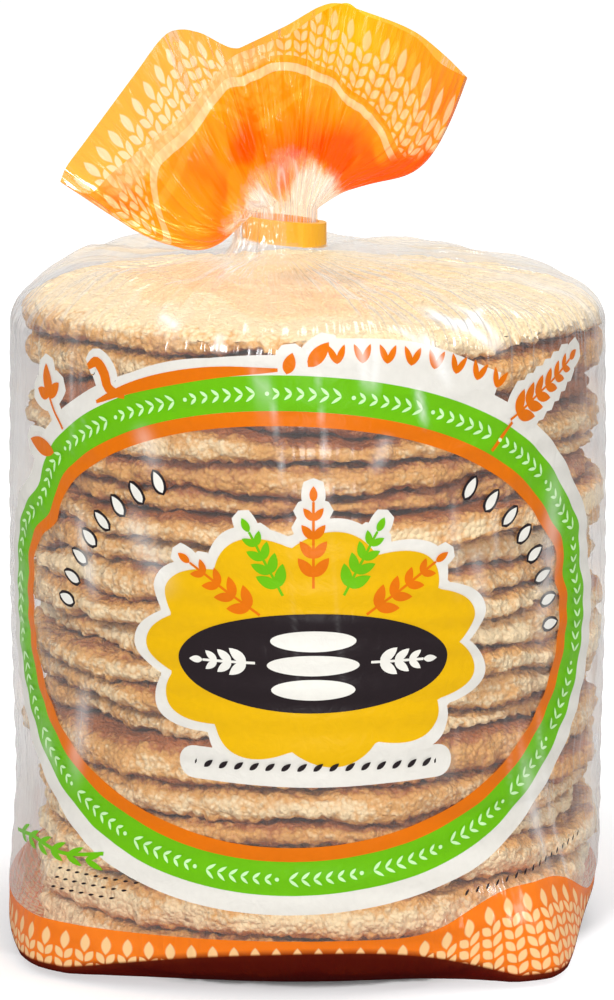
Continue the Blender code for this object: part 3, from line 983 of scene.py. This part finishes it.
def underside_height(theta, radius):
    """Height of the film's bottom under this place."""
    out = ear(theta)
    low = BASE_SPOT + 0.45 * out
    turn = np.arcsin(np.clip((radius - low) / (BASE_RADIUS + out - low), 0.0, 1.0))
    return edge_height(theta) * (1.0 - np.cos(turn))


def spun_cake(inner, steps):
    """An even cake one unit across: half its section spun round the middle."""
    mesh = bmesh.new()
    verts = []
    for depth, level in rim_profile(*RIM_POINTS, inner):
        verts.append(mesh.verts.new((1.0 - depth / NOMINAL_RADIUS, 0.0, level)))
    edges = [mesh.edges.new(pair) for pair in zip(verts, verts[1:])]
    bmesh.ops.spin(mesh, geom=verts + edges, axis=(0.0, 0.0, 1.0), cent=(0.0, 0.0, 0.0),
                   angle=2.0 * math.pi, steps=steps, use_merge=True)
    bmesh.ops.remove_doubles(mesh, verts=mesh.verts, dist=1e-5)
    bmesh.ops.recalc_face_normals(mesh, faces=mesh.faces)
    data = bpy.data.meshes.new("even cake")
    mesh.to_mesh(data)
    mesh.free()
    return data


def uneven_cake(index, settings, even):
    """One cake of the stack: every point of the even one goes to its uneven place."""
    data = even.copy()
    data.name = f"cake_{index + 1:02d}"
    spun = coordinates(data)
    reach = np.hypot(spun[:, 0], spun[:, 1])
    x = spun[:, 0] / np.maximum(reach, 1e-9)
    y = spun[:, 1] / np.maximum(reach, 1e-9)
    level = spun[:, 2]
    depth = (1.0 - reach) * NOMINAL_RADIUS
    full = cake_radius(index, x, y, settings.radius / MM)
    radius = np.maximum(full - depth, reach * full * blend(30.0, 8.0, depth))
    radius = np.where(depth > 8.0, reach * full, radius)
    low = seam(index, x, y) + SEAM_GAP
    high = seam(index + 1, x, y) - SEAM_GAP
    z = low + (high - low) * level

    px, py, pz = radius * x, radius * y, z
    wide = uneven(px * 0.16, py * 0.16, pz * 0.16, 21 + index)
    middle = np.abs(uneven(px * 0.36, py * 0.36, pz * 0.36, 51 + index))
    fine = np.abs(uneven(px * 1.0, py * 1.0, pz * 1.0, 81 + index))
    relief = settings.relief / MM
    puff = relief * (0.9 * wide + 1.5 * middle + 0.9 * fine - 0.7)
    upward = np.where(level > BULGE, (level - BULGE) / (1.0 - BULGE), (level - BULGE) / BULGE)
    outer = blend(12.0, 1.5, depth)
    radius = radius + puff * np.sqrt(np.maximum(0.0, 1.0 - upward ** 2)) * outer
    z = z + puff * upward * (0.45 + 0.3 * outer)

    px = STACK_X + radius * x
    py = radius * y
    theta = np.arctan2(py, px)
    out = np.hypot(px, py)
    limit = film_radius(theta, np.maximum(z, 9.0)) - settings.clearance / MM
    fit = np.minimum(1.0, limit / np.maximum(out, 1e-9))
    z = np.maximum(z, 0.6 + underside_height(theta, out * fit))
    z = np.minimum(z, np.interp(out * fit, STATIONS[::-1, 1], STATIONS[::-1, 2]) - TOP_ROOM)
    place_points(data, stack(px * fit, py * fit, z))

    # Cakes that sit back get painted shade on top of their own random tone
    own = 0.30 * float(uneven(index * 3.31, 1.1, 5.5, 17)) + SET_BACK.get(index, (0.0, 0.0))[1]
    side = 0.34 * uneven(x * 2.2, y * 2.2, index * 1.9, 19)
    # Painted light and shade: the lowest cakes are painted lighter, and each rim's upper slope
    # browner, partly toast and partly painted shade from the cake above
    slope_toast_and_shade = 0.34 - 0.25 * blend(6.0, 1.0, index) + 0.66 * blend(0.60, 1.0, level)
    # Painted shadow: the top face left bare under a cake that sits back is browned as if shaded by
    # it
    ledge_shadow = SET_BACK.get(index + 1, (0.0, 0.0))[1]
    slope_toast_and_shade = slope_toast_and_shade + 1.2 * ledge_shadow * blend(0.90, 1.0, level) * blend(1.0, 5.0, depth)
    # The top cake: a pale face, a toasted outer rim and painted shade browning its lower half
    if index == len(SEAMS) - 2:
        own = 0.0
        slope_toast_and_shade = -0.45 + 0.45 * blend(8.0, 1.0, depth) + 0.40 * blend(0.85, 0.30, level)
    # Painted shade: the underside below the bulge is browned
    toast = own + side + slope_toast_and_shade + 0.80 * blend(0.22, 0.0, level)
    toast = toast - 0.35 * fine + 0.2 * wide
    mark_points(data, "toast", toast)
    data.update()
    return data


# ---------------------------------------------------------------- label

def laid(mesh, columns, rows, place):
    """A grid whose unit square is laid flat by place(across, up)."""
    made = bmesh.ops.create_grid(mesh, x_segments=columns, y_segments=rows, size=0.5)
    for vert in made["verts"]:
        u, z = place(vert.co.x + 0.5, vert.co.y + 0.5)
        vert.co = (u, z, 0.0)


def oval(mesh, middle, half, lean=0.0, scallops=0, depth=0.0):
    """A filled oval, or with scallops a rosette."""
    cosine = math.cos(lean)
    sine = math.sin(lean)

    def place(across, up):
        turn = 2.0 * math.pi * across
        swell = 1.0 + depth * abs(math.sin(scallops * turn / 2.0)) if scallops else 1.0
        x = half[0] * up * swell * math.cos(turn)
        y = half[1] * up * swell * math.sin(turn)
        return middle[0] + x * cosine - y * sine, middle[1] + x * sine + y * cosine

    size = max(half)
    laid(mesh, max(24, int(size * 8)), max(3, int(size / 1.2)), place)


def strip(mesh, points, width, taper=0.0):
    """A stroke along the smooth line through points. taper thins its ends."""
    length = sum(math.dist(a, b) for a, b in zip(points, points[1:]))
    count = max(8, int(length / 0.8))
    line = catmull(points, np.linspace(0.0, 1.0, count + 1))
    ahead = np.gradient(line, axis=0)
    ahead /= np.linalg.norm(ahead, axis=1)[:, None]

    def place(across, up):
        k = round(across * count)
        half = 0.5 * width * (1.0 - taper * abs(2.0 * across - 1.0) ** 2)
        side = (up - 0.5) * 2.0 * half
        return line[k, 0] - ahead[k, 1] * side, line[k, 1] + ahead[k, 0] * side

    laid(mesh, count, max(1, int(width)), place)


def leaf(mesh, root, lean, length, width, grow=0.0):
    """A pointed leaf from its root. grow widens it all round, for what lies under it."""
    cosine = math.cos(lean)
    sine = math.sin(lean)

    def place(across, up):
        half = (width / 2.0) * math.sin(math.pi * across ** 0.85) ** 0.8 + grow * min(
            1.0, math.sqrt(max(0.0, 1.0 - (2.0 * across - 1.0) ** 2)) * 1.6)
        x = -grow + (length + 2.0 * grow) * across
        y = (2.0 * up - 1.0) * half
        return root[0] + x * cosine - y * sine, root[1] + x * sine + y * cosine

    laid(mesh, max(8, int(length * 1.5)), 2, place)


def ear_of_wheat(mesh, root, tip, pairs, size, grow=0.0):
    """A stem with pairs of grains that shrink toward the tip."""
    lean = math.atan2(tip[1] - root[1], tip[0] - root[0])
    length = math.dist(root, tip)
    strip(mesh, (root, tip), 0.5 + 2.0 * grow)
    for step in range(pairs):
        share = (step + 0.6) / (pairs + 0.6)
        small = 1.0 - 0.50 * share
        place = (root[0] + length * share * math.cos(lean),
                 root[1] + length * share * math.sin(lean))
        for side in (-1.0, 1.0):
            leaf(mesh, place, lean + side * math.radians(38.0), size * small,
                 size * 0.46 * small, grow)
    leaf(mesh, tip, lean, size * 0.6, size * 0.3, grow)


def ring_point(turn, inset):
    """A point of the label's ring, this far inside its outer edge."""
    a, b = RING_HALF
    x = a * math.cos(turn)
    y = b * math.sin(turn)
    nx, ny = x / a ** 2, y / b ** 2
    size = math.hypot(nx, ny)
    for middle, width, deep in RING_DENTS:
        away = (turn - middle + math.pi) % (2.0 * math.pi) - math.pi
        inset += deep * math.exp(-(away / width) ** 2)
    return RING_U + x - inset * nx / size, RING_Z + y - inset * ny / size


def ring_band(mesh, outer, inner):
    def place(across, up):
        return ring_point(2.0 * math.pi * across, inner + (outer - inner) * up)

    laid(mesh, 420, max(3, round(abs(inner - outer))), place)


def ring_steps(spacing, inset):
    """Evenly spaced places round the ring as (point, direction along it)."""
    turns = np.linspace(0.0, 2.0 * math.pi, 721)
    points = np.array([ring_point(turn, inset) for turn in turns])
    lengths = np.concatenate([[0.0], np.cumsum(np.linalg.norm(np.diff(points, axis=0), axis=1))])
    count = round(lengths[-1] / spacing)
    for step in range(count):
        turn = np.interp(lengths[-1] * step / count, lengths, turns)
        here = ring_point(turn, inset)
        ahead = ring_point(turn + 0.01, inset)
        yield here, math.atan2(ahead[1] - here[1], ahead[0] - here[0])


def arc_steps(middle, radius, start, end, count):
    """Places along an arc as (point, direction away from its middle)."""
    for step in range(count):
        turn = math.radians(start + (end - start) * step / (count - 1))
        yield (middle[0] + radius[0] * math.cos(turn),
               middle[1] + radius[1] * math.sin(turn)), turn


def sprigs(mesh, grow=0.0):
    """The wheat ear at the top right and the sprout and leaves at the top left."""
    ear_of_wheat(mesh, (41.5, 110.0), (60.0, 119.4), 6, 5.4, grow)
    strip(mesh, ((37.0, 104.5), (39.5, 107.0), (42.0, 109.5)), 0.7 + 2.0 * grow)
    strip(mesh, ((-54.5, 106.5), (-57.0, 109.5), (-59.5, 112.5)), 0.6 + 2.0 * grow)
    for lean, length in ((100.0, 6.6), (42.0, 5.0), (165.0, 4.6)):
        leaf(mesh, (-59.5, 112.0), math.radians(lean), length, length * 0.5, grow)
    leaf(mesh, (-57.5, 101.5), math.radians(172.0), 9.5, 3.4, grow)
    strip(mesh, ((-46.6, 119.6), (-44.2, 120.8), (-42.2, 118.9), (-40.8, 116.0), (-37.0, 115.0)),
          2.4 + 2.0 * grow, 0.5)
    strip(mesh, [ring_point(math.radians(turn), -1.0) for turn in (124, 116, 108, 100, 91)],
          2.6 + 2.0 * grow, 0.75)
    leaf(mesh, (-4.0, 121.0), math.radians(75.0), 4.2, 2.4, grow)
    leaf(mesh, (0.0, 122.4), math.radians(50.0), 6.2, 2.8, grow)


def fan(mesh, colour, grow=0.0):
    """Ears that spread up from the rosette, orange and green by turns."""
    root = ROSETTE
    for step, lean in enumerate((146.0, 118.0, 90.0, 62.0, 34.0)):
        if colour is not None and (step % 2 == 0) != (colour == "orange"):
            continue
        reach = 28.5 - 3.0 * (step % 2)
        turn = math.radians(lean)
        start = (root[0] + 12.0 * math.cos(turn), root[1] + 12.0 * math.sin(turn))
        end = (root[0] + reach * math.cos(turn), root[1] + reach * math.sin(turn))
        ear_of_wheat(mesh, start, end, 4, 5.0, grow)


def white_shapes(mesh):
    ring_band(mesh, -RING_HALO, RING_GREEN + RING_ORANGE * 0.5)
    sprigs(mesh, 1.9)
    strip(mesh, ((4.0, 124.0), (20.0, 122.6), (38.0, 115.5)), 8.0)
    strip(mesh, ((-46.0, 112.0), (-30.0, 116.5), (-8.0, 120.5)), 6.0)
    oval(mesh, ROSETTE, (31.0, 22.0), 0.0, 11, 0.16)
    fan(mesh, None, 1.5)
    strip(mesh, ((-22.0, 45.8), (1.0, 45.0), (25.0, 45.8)), 6.4)
    for side in (-22.0, 25.0):
        oval(mesh, (side, 45.8), (3.2, 3.2))


def green_shapes(mesh):
    ring_band(mesh, 0.0, RING_GREEN)
    strip(mesh, ((-75.0, 22.4), (-64.0, 23.9), (-52.0, 23.4), (-42.0, 25.0)), 0.7)
    for step in range(6):
        for side in (-1.0, 1.0):
            leaf(mesh, (-71.0 + 5.0 * step, 23.2), math.radians(6.0 + side * 22.0), 4.6, 1.2)


def orange_shapes(mesh):
    ring_band(mesh, RING_GREEN, RING_GREEN + RING_ORANGE)
    sprigs(mesh)
    for here, turn in arc_steps((8.0, 48.0), (74.0, 75.0), 92.0, 66.0, 8):
        for side in (-1.0, 1.0):
            leaf(mesh, here, turn + side * math.radians(24.0), 4.0, 1.3)


def seed_rows(mesh):
    """Rows of tiny dark seeds low on both sides, in place of small print."""
    for row in range(3):
        for step in range(9 - row):
            leaf(mesh, (-52.0 + 2.2 * step, 20.6 - 1.7 * row), math.radians(12.0), 1.2, 0.42)
    for step in range(16):
        across = 30.0 + 2.2 * step
        leaf(mesh, (across, 19.0 + 0.15 * (across - 30.0)), math.radians(50.0), 1.5, 0.45)


def yellow_shapes(mesh):
    oval(mesh, ROSETTE, (28.6, 19.8), 0.0, 11, 0.16)


def fan_orange_shapes(mesh):
    fan(mesh, "orange")


def fan_green_shapes(mesh):
    fan(mesh, "green")


def dark_shapes(mesh):
    oval(mesh, DARK_OVAL, (26.0, 9.6))
    for middle, start, end in (((-8.0, 66.0), 168.0, 118.0), ((8.0, 66.0), 58.0, 4.0)):
        for here, turn in arc_steps(middle, (43.0, 35.5), start, end, 8):
            leaf(mesh, here, turn, 4.4, 1.9, 0.5)
    for step in range(15):
        leaf(mesh, (-20.0 + step * 3.0, 45.0), math.radians(40.0), 2.4, 1.0)
    seed_rows(mesh)


def pale_shapes(mesh):
    for level, wide in ((60.9, 7.8), (65.6, 8.6), (70.3, 8.0)):
        oval(mesh, (DARK_OVAL[0], level), (wide, 2.0))
    for side in (-1.0, 1.0):
        ear_of_wheat(mesh, (DARK_OVAL[0] + side * 10.8, 66.0),
                     (DARK_OVAL[0] + side * 21.0, 66.0), 3, 4.6)
    for middle, start, end in (((-8.0, 66.0), 168.0, 118.0), ((8.0, 66.0), 58.0, 4.0)):
        for here, turn in arc_steps(middle, (43.0, 35.5), start, end, 8):
            leaf(mesh, here, turn, 4.4, 1.9)


def leaf_mark_shapes(mesh):
    """Pale marks round the green ring: sprigs of leaves with a seed between them."""
    for step, (here, turn) in enumerate(ring_steps(2.3, RING_GREEN * 0.5)):
        place = step % 7
        if place == 6:
            oval(mesh, here, (0.40, 0.40))
            continue
        for side in (-1.0, 1.0):
            leaf(mesh, here, turn + side * math.radians(40.0), 2.3 - 0.12 * place, 0.62)


LABEL_LAYERS = (
    ("label_white", white_shapes, "white"),
    ("label_green", green_shapes, "green"),
    ("label_orange", orange_shapes, "orange"),
    ("label_yellow", yellow_shapes, "yellow"),
    ("label_ears_orange", fan_orange_shapes, "orange"),
    ("label_ears_green", fan_green_shapes, "green"),
    ("label_dark", dark_shapes, "dark"),
    ("label_pale", pale_shapes, "pale"),
    ("label_leaf_marks", leaf_mark_shapes, "mark"),
)


# ---------------------------------------------------------------- operators

class RICEBAG_OT_cakes(Operator):
    """Builds the stack of puffed cakes"""

    bl_idname = "ricebag.cakes"
    bl_label = "Cakes"

    def execute(self, context):
        settings = context.scene.ricebag_cakes
        material = cake_material(settings)
        count = len(SEAMS) - 1
        covered = spun_cake((30.0, 14.0, 8.0), settings.segments)
        open_top = np.arange(NOMINAL_RADIUS - 2.0, RIM_TOP + 0.5, -1.0)
        top = spun_cake(open_top, settings.segments)
        for index in range(count):
            mesh = uneven_cake(index, settings, top if index == count - 1 else covered)
            finished(mesh.name, mesh, material)
        bpy.data.meshes.remove(covered)
        bpy.data.meshes.remove(top)
        return {"FINISHED"}


class RICEBAG_OT_film(Operator):
    """Builds the clear film round the stack, from under it to the tied neck"""

    bl_idname = "ricebag.film"
    bl_label = "Film"

    def execute(self, context):
        film = context.scene.ricebag_film
        inks = context.scene.ricebag_print
        depth = film.crease / MM

        def around(across):
            """The angle round the bag: the seam is at the back."""
            return 2.0 * math.pi * (across - 0.5) - math.pi / 2.0

        def heights(theta, up):
            """The height on the side, and past the shoulder the way along the tent."""
            low = edge_height(theta)
            wall = low + (SHOULDER - low) * (up - SIDE_SHARE) / (TENT_SHARE - SIDE_SHARE)
            roof = SHOULDER + TENT_LENGTH * (up - TENT_SHARE) / (CLOSED_SHARE - TENT_SHARE)
            return np.where(up < TENT_SHARE, wall, roof)

        def place(across, up):
            theta = around(across)
            points = film_point(theta, heights(theta, up), depth=depth)
            bottom = underside_point(theta, np.clip(up / SIDE_SHARE, 0.0, 1.0))
            points = np.where((up < SIDE_SHARE)[:, None], bottom, points)
            share = blend(CLOSED_SHARE, 1.0, up)[:, None]
            return points * (1.0 - share) + neck_point(theta, NECK_MIDDLE) * share

        def chart(across, up):
            theta = around(across)
            below = BASE_LENGTH * (1.0 - up / SIDE_SHARE)
            bottom = band_height(theta, edge_height(theta)) - below
            v = np.where(up < SIDE_SHARE, bottom, band_height(theta, heights(theta, up)))
            return np.column_stack([WRAP_RADIUS * 2.0 * math.pi * (across - 0.5), v])

        # Painted sheen streaks on the side and the tent
        def folded(across, up):
            theta = around(across)
            u = WRAP_RADIUS * 2.0 * math.pi * (across - 0.5)
            return np.where(up < SIDE_SHARE, 0.0, milky(u, heights(theta, up)))

        mesh = mapped_grid("film_body", film.around, FILM_ROWS, place, chart, True,
                           {"milky": folded})
        flat = coordinates(mesh) / MM
        theta = np.arctan2(flat[:, 1], flat[:, 0])
        high = flat[:, 2]
        # Painted shade: deep marks the band from just above the fold edge down under the bag, which
        # is darkened
        under_shade = blend(2.3, 0.9, high - edge_height(theta))
        patch = np.exp(-((np.degrees(theta) + 62.0) / 22.0) ** 2) * blend(112.0, 119.0, high)
        spots = blend(-0.05, 0.5, uneven(flat[:, 0] * 0.07, flat[:, 1] * 0.07, high * 0.05, 51))
        tented = blend(SHOULDER - 3.0, SHOULDER + 6.0, high)
        crumpled = np.clip(0.25 * tented + 1.0 * patch + 0.30 * spots, 0.0, 1.0)
        mark_points(mesh, "deep", under_shade)
        mark_points(mesh, "crinkle", crumpled)
        material = film_material("Clear film", base_band, inks.band_orange,
                                 inks.under_shade_orange, share=0.80, gloss=1.2, stretch=0.10,
                                 roughened=0.10, under_shade_share=0.97,
                                 pale_ink=(0.82, 0.52, 0.24))
        piece = finished("film_body", mesh, material, False)
        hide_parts("bag")
        return {"FINISHED"}


class RICEBAG_OT_mouth(Operator):
    """Builds the flared printed mouth above the tape"""

    bl_idname = "ricebag.mouth"
    bl_label = "Mouth"

    def execute(self, context):
        inks = context.scene.ricebag_print
        start = NECK_SHARE
        columns, rows = MOUTH_GRID
        edge = mouth_edge(np.linspace(0.0, 1.0, columns + 1))
        steps = np.linalg.norm(np.diff(edge, axis=0), axis=1)
        lengths = np.concatenate([[0.0], np.cumsum(steps)])

        def place(across, up):
            theta = math.pi + 2.0 * math.pi * across
            neck = neck_point(theta, NECK_MIDDLE + (NECK_HIGH - NECK_MIDDLE) * up / start)
            flare = frill_point(across, np.clip((up - start) / (1.0 - start), 0.0, 1.0))
            return np.where((up < start)[:, None], neck, flare)

        def inside(across, up):
            """How far in from the edge this place is."""
            theta = math.pi + 2.0 * math.pi * across
            reach = np.linalg.norm(mouth_edge(across) - neck_point(theta, NECK_HIGH), axis=1)
            return reach * (1.0 - (up - start) / (1.0 - start))

        def chart(across, up):
            v = inside(across, up) + folded_in(across)
            return np.column_stack([np.interp(across * columns, range(columns + 1), lengths), v])

        def hem(across, up):
            left = blend(0.03, 0.08, across) * blend(0.30, 0.24, across)
            return 0.75 * left * blend(HEM + 0.4, HEM - 0.4, inside(across, up))

        # Painted sheen: bright crinkle lines on the mouth near the neck
        def crinkle_sheen(across, up):
            t = (up - start) / (1.0 - start)
            turn = 2.0 * math.pi * across
            line = 1.0 - np.abs(uneven(np.cos(turn) * 9.0, np.sin(turn) * 9.0, 2.6 * t, 65))
            return 0.75 * line ** 6 * blend(0.42, 0.15, t)

        mesh = mapped_grid("film_mouth", columns, rows, place, chart, True,
                           {"hem": hem, "milky": crinkle_sheen})
        flat = coordinates(mesh)
        x, z = flat[:, 0] / MM, flat[:, 2] / MM
        # Painted fold shade: deeper red near the neck right of the middle, along noise folds and in
        # the listed patches
        gather = blend(SPREAD_HIGH, NECK_HIGH, z) * blend(-24.0, -10.0, x)
        folds = uneven(x * 0.16, 3.3, z * 0.10, 31) + 0.6 * uneven(x * 0.42, 1.1, z * 0.16, 32)
        shade = np.clip(0.20 + 1.5 * folds, 0.0, 1.0) * gather
        for middle, level, wide, tall, strength in FOLD_SHADE_PATCHES:
            shade = shade + strength * np.exp(
                -((x - middle) / wide) ** 2 - ((z - level) / tall) ** 2)
        shade = np.clip(shade, 0.0, 1.0)
        # Painted light: a yellow glow where light shines through the peak
        painted_glow = np.exp(-((x - 9.0) / 10.0) ** 2) * blend(168.0, 178.0, z)
        mark_points(mesh, "deep", shade)
        mark_points(mesh, "sunny", painted_glow)
        material = film_material("Printed mouth film", mouth_band, inks.mouth_orange,
                                 inks.fold_shade_orange, share=0.40, gloss=0.40, stretch=0.12,
                                 roughened=0.55, plain=(1.0, 0.85, 0.70))
        finished("film_mouth", mesh, material, False)
        return {"FINISHED"}


class RICEBAG_OT_collar(Operator):
    """Builds the gathered film that is caught over the tape on the left"""

    bl_idname = "ricebag.collar"
    bl_label = "Collar"

    def execute(self, context):
        inks = context.scene.ricebag_print

        def place(across, up):
            theta = np.radians(COLLAR_FROM + (COLLAR_TO - COLLAR_FROM) * across)
            ends = np.sin(math.pi * across) ** 0.5
            z = COLLAR_LOW + (COLLAR_HIGH - COLLAR_LOW) * up
            z = z + 1.4 * uneven(across * 7.0, 2.0, 5.0, 41) * (2.0 * up - 1.0)
            pleat = 0.55 * np.cos(19.0 * theta + 2.0 * up) + 0.9 * uneven(
                across * 9.0, up * 3.0, 1.5, 42)
            out = 1.5 + (0.9 + pleat) * ends + 2.2 * (2.0 * up - 1.0) ** 2 * ends
            return stack(NECK_X + (NECK_A + out) * np.cos(theta),
                         (NECK_B + out) * np.sin(theta), z + TAPE_TILT * np.cos(theta))

        def chart(across, up):
            return np.column_stack([across * 30.0, up * 12.0])

        mesh = mapped_grid("film_collar", 120, 24, place, chart, False)
        material = film_material("Collar film", clear_band, inks.white, inks.white,
                                 share=0.0, gloss=2.0, stretch=0.2, roughened=0.6)
        finished("film_collar", mesh, material, False)
        return {"FINISHED"}


class RICEBAG_OT_label(Operator):
    """Lays the printed label on the front of the film, one piece for each ink"""

    bl_idname = "ricebag.label"
    bl_label = "Label"

    def execute(self, context):
        inks = context.scene.ricebag_print
        depth = context.scene.ricebag_film.crease / MM
        materials = {}
        for order, (name, shapes, ink) in enumerate(LABEL_LAYERS):
            mesh = bmesh.new()
            shapes(mesh)
            bmesh.ops.remove_doubles(mesh, verts=mesh.verts, dist=1e-4)
            data = bpy.data.meshes.new(name)
            mesh.to_mesh(data)
            mesh.free()
            flat = coordinates(data)
            theta = flat[:, 0] / WRAP_RADIUS - math.pi / 2.0
            lift = LABEL_LIFT + LABEL_STEP * order
            place_points(data, film_point(theta, flat[:, 1], lift, depth))
            mark_points(data, "milky", milky(flat[:, 0], flat[:, 1]))
            data.update()
            if ink not in materials:
                materials[ink] = ink_material(f"Ink {ink}", getattr(inks, ink))
            finished(name, data, materials[ink], False)
        return {"FINISHED"}


class RICEBAG_OT_tape(Operator):
    """Gives the tape its finish"""

    bl_idname = "ricebag.tape"
    bl_label = "Tape"

    def execute(self, context):
        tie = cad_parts["tie"]
        tie.data.materials.clear()
        tie.data.materials.append(tape_material())
        return {"FINISHED"}


class RICEBAG_OT_stage(Operator):
    """Lays the floor, hangs the lights and sets the camera"""

    bl_idname = "ricebag.stage"
    bl_label = "Stage"

    def execute(self, context):
        scene = context.scene
        settings = scene.ricebag_stage
        self.floor(scene)
        self.light(scene, "key", (-0.42, -0.95, 0.80), (0.0, 0.0, 0.10), settings.key,
                   (0.35, 0.35))
        self.light(scene, "top", (0.25, 0.15, 1.10), (0.0, 0.0, 0.12), settings.key * 0.40,
                   (0.40, 0.40))
        self.light(scene, "low", (0.10, -1.10, 0.16), (0.0, 0.0, 0.03), settings.key * 0.24,
                   (0.40, 0.20))
        self.light(scene, "side", (0.85, -0.55, 0.55), (0.0, 0.0, 0.10), settings.key * 0.30,
                   (0.06, 0.45))
        self.surround(scene, settings)
        self.camera(scene, settings)
        scene.view_settings.view_transform = "Standard"
        return {"FINISHED"}

    def floor(self, scene):
        """A pale floor glowing white in view, dimmer near the bag as painted contact shadow."""
        mesh = bmesh.new()
        bmesh.ops.create_grid(mesh, x_segments=1, y_segments=1, size=8.0)
        data = bpy.data.meshes.new("floor")
        mesh.to_mesh(data)
        mesh.free()
        material, tree = new_material("Pale floor")
        shader = add(tree, "ShaderNodeBsdfPrincipled")
        seen = add(tree, "ShaderNodeLightPath").outputs["Is Camera Ray"]
        tree.links.new(mix_colour(tree, seen, (0.60, 0.60, 0.60, 1.0),
                                  (0.97, 0.97, 0.975, 1.0)), shader.inputs["Base Color"])
        place = add(tree, "ShaderNodeTexCoord").outputs["Object"]
        away = add(tree, "ShaderNodeVectorMath", {0: place}, operation="LENGTH")
        # Painted light and shadow: the floor glows in view, less near the bag as a contact shadow
        painted_glow = add(tree, "ShaderNodeMapRange", {
            "Value": away.outputs["Value"], "From Min": 0.066, "From Max": 0.22,
            "To Min": 0.10, "To Max": 0.56}, interpolation_type="SMOOTHSTEP")
        tree.links.new(math_node(tree, "MULTIPLY", seen, painted_glow.outputs["Result"]),
                       shader.inputs["Emission Strength"])
        shader.inputs["Emission Color"].default_value = (1.0, 1.0, 1.0, 1.0)
        shader.inputs["Roughness"].default_value = 0.9
        shader.inputs["Specular IOR Level"].default_value = 0.1
        out = add(tree, "ShaderNodeOutputMaterial")
        tree.links.new(shader.outputs[0], out.inputs["Surface"])
        data.materials.append(material)
        floor = bpy.data.objects.new("floor", data)
        scene.collection.objects.link(floor)

    def surround(self, scene, settings):
        """A white surround: one brightness in view, others for light and reflections."""
        world = bpy.data.worlds.new("White surround")
        world.use_nodes = True
        tree = world.node_tree
        background = tree.nodes["Background"]
        background.inputs["Color"].default_value = (1.0, 1.0, 1.0, 1.0)
        toward = add(tree, "ShaderNodeTexCoord").outputs["Generated"]
        rise = add(tree, "ShaderNodeSeparateXYZ", {0: toward}).outputs["Z"]
        sky = math_node(tree, "MULTIPLY_ADD", math_node(tree, "MAXIMUM", rise, 0.0),
                        settings.world_top - settings.world, settings.world)
        path = add(tree, "ShaderNodeLightPath")
        glossy = add(tree, "ShaderNodeMix", {0: path.outputs["Is Glossy Ray"], 2: sky,
                                             3: settings.world_mirrored}, data_type="FLOAT")
        bright = add(tree, "ShaderNodeMix", {0: path.outputs["Is Camera Ray"],
                                             2: glossy.outputs[0], 3: 1.02},
                     data_type="FLOAT")
        tree.links.new(bright.outputs[0], background.inputs["Strength"])
        scene.world = world

    def camera(self, scene, settings):
        """The camera, in front of the bag and a little above it."""
        camera = bpy.data.cameras.new("camera")
        camera.lens = settings.lens
        camera.sensor_width = 36.0
        camera.shift_x = -0.001
        camera.clip_start = 0.05
        camera.clip_end = 30.0
        holder = bpy.data.objects.new("camera", camera)
        holder.location = (0.0, -settings.camera_back, settings.camera_height)
        holder.rotation_euler = (math.pi / 2.0 - settings.camera_pitch, 0.0, 0.0)
        scene.collection.objects.link(holder)
        scene.camera = holder

    def light(self, scene, name, place, target, power, size):
        data = bpy.data.lights.new(name, "AREA")
        data.shape = "RECTANGLE"
        data.size = size[0]
        data.size_y = size[1]
        data.energy = power
        lamp = bpy.data.objects.new(name, data)
        lamp.location = place
        toward = Vector(target) - Vector(place)
        lamp.rotation_euler = toward.to_track_quat("-Z", "Y").to_euler()
        scene.collection.objects.link(lamp)


class RICEBAG_PT_panel(Panel):
    """Lists the pieces of the bag"""

    bl_idname = "RICEBAG_PT_panel"
    bl_label = "Rice Cake Bag"
    bl_space_type = "VIEW_3D"
    bl_region_type = "UI"
    bl_category = "Rice Cake Bag"

    def draw(self, context):
        for operator in OPERATORS:
            self.layout.operator(operator.bl_idname)


GROUPS = {
    "ricebag_cakes": CakeSettings,
    "ricebag_film": FilmSettings,
    "ricebag_print": PrintSettings,
    "ricebag_stage": StageSettings,
}
OPERATORS = (
    RICEBAG_OT_stage,
    RICEBAG_OT_cakes,
    RICEBAG_OT_film,
    RICEBAG_OT_mouth,
    RICEBAG_OT_collar,
    RICEBAG_OT_label,
    RICEBAG_OT_tape,
)


def register():
    for name, group in GROUPS.items():
        bpy.utils.register_class(group)
        setattr(bpy.types.Scene, name, PointerProperty(type=group))
    for operator in OPERATORS:
        bpy.utils.register_class(operator)
    bpy.utils.register_class(RICEBAG_PT_panel)


def unregister():
    bpy.utils.unregister_class(RICEBAG_PT_panel)
    for operator in reversed(OPERATORS):
        bpy.utils.unregister_class(operator)
    for name, group in GROUPS.items():
        delattr(bpy.types.Scene, name)
        bpy.utils.unregister_class(group)


def main():
    register()
    bpy.ops.ricebag.stage()
    bpy.ops.ricebag.cakes()
    bpy.ops.ricebag.film()
    bpy.ops.ricebag.mouth()
    bpy.ops.ricebag.collar()
    bpy.ops.ricebag.label()
    bpy.ops.ricebag.tape()


if __name__ == "__main__":
    main()
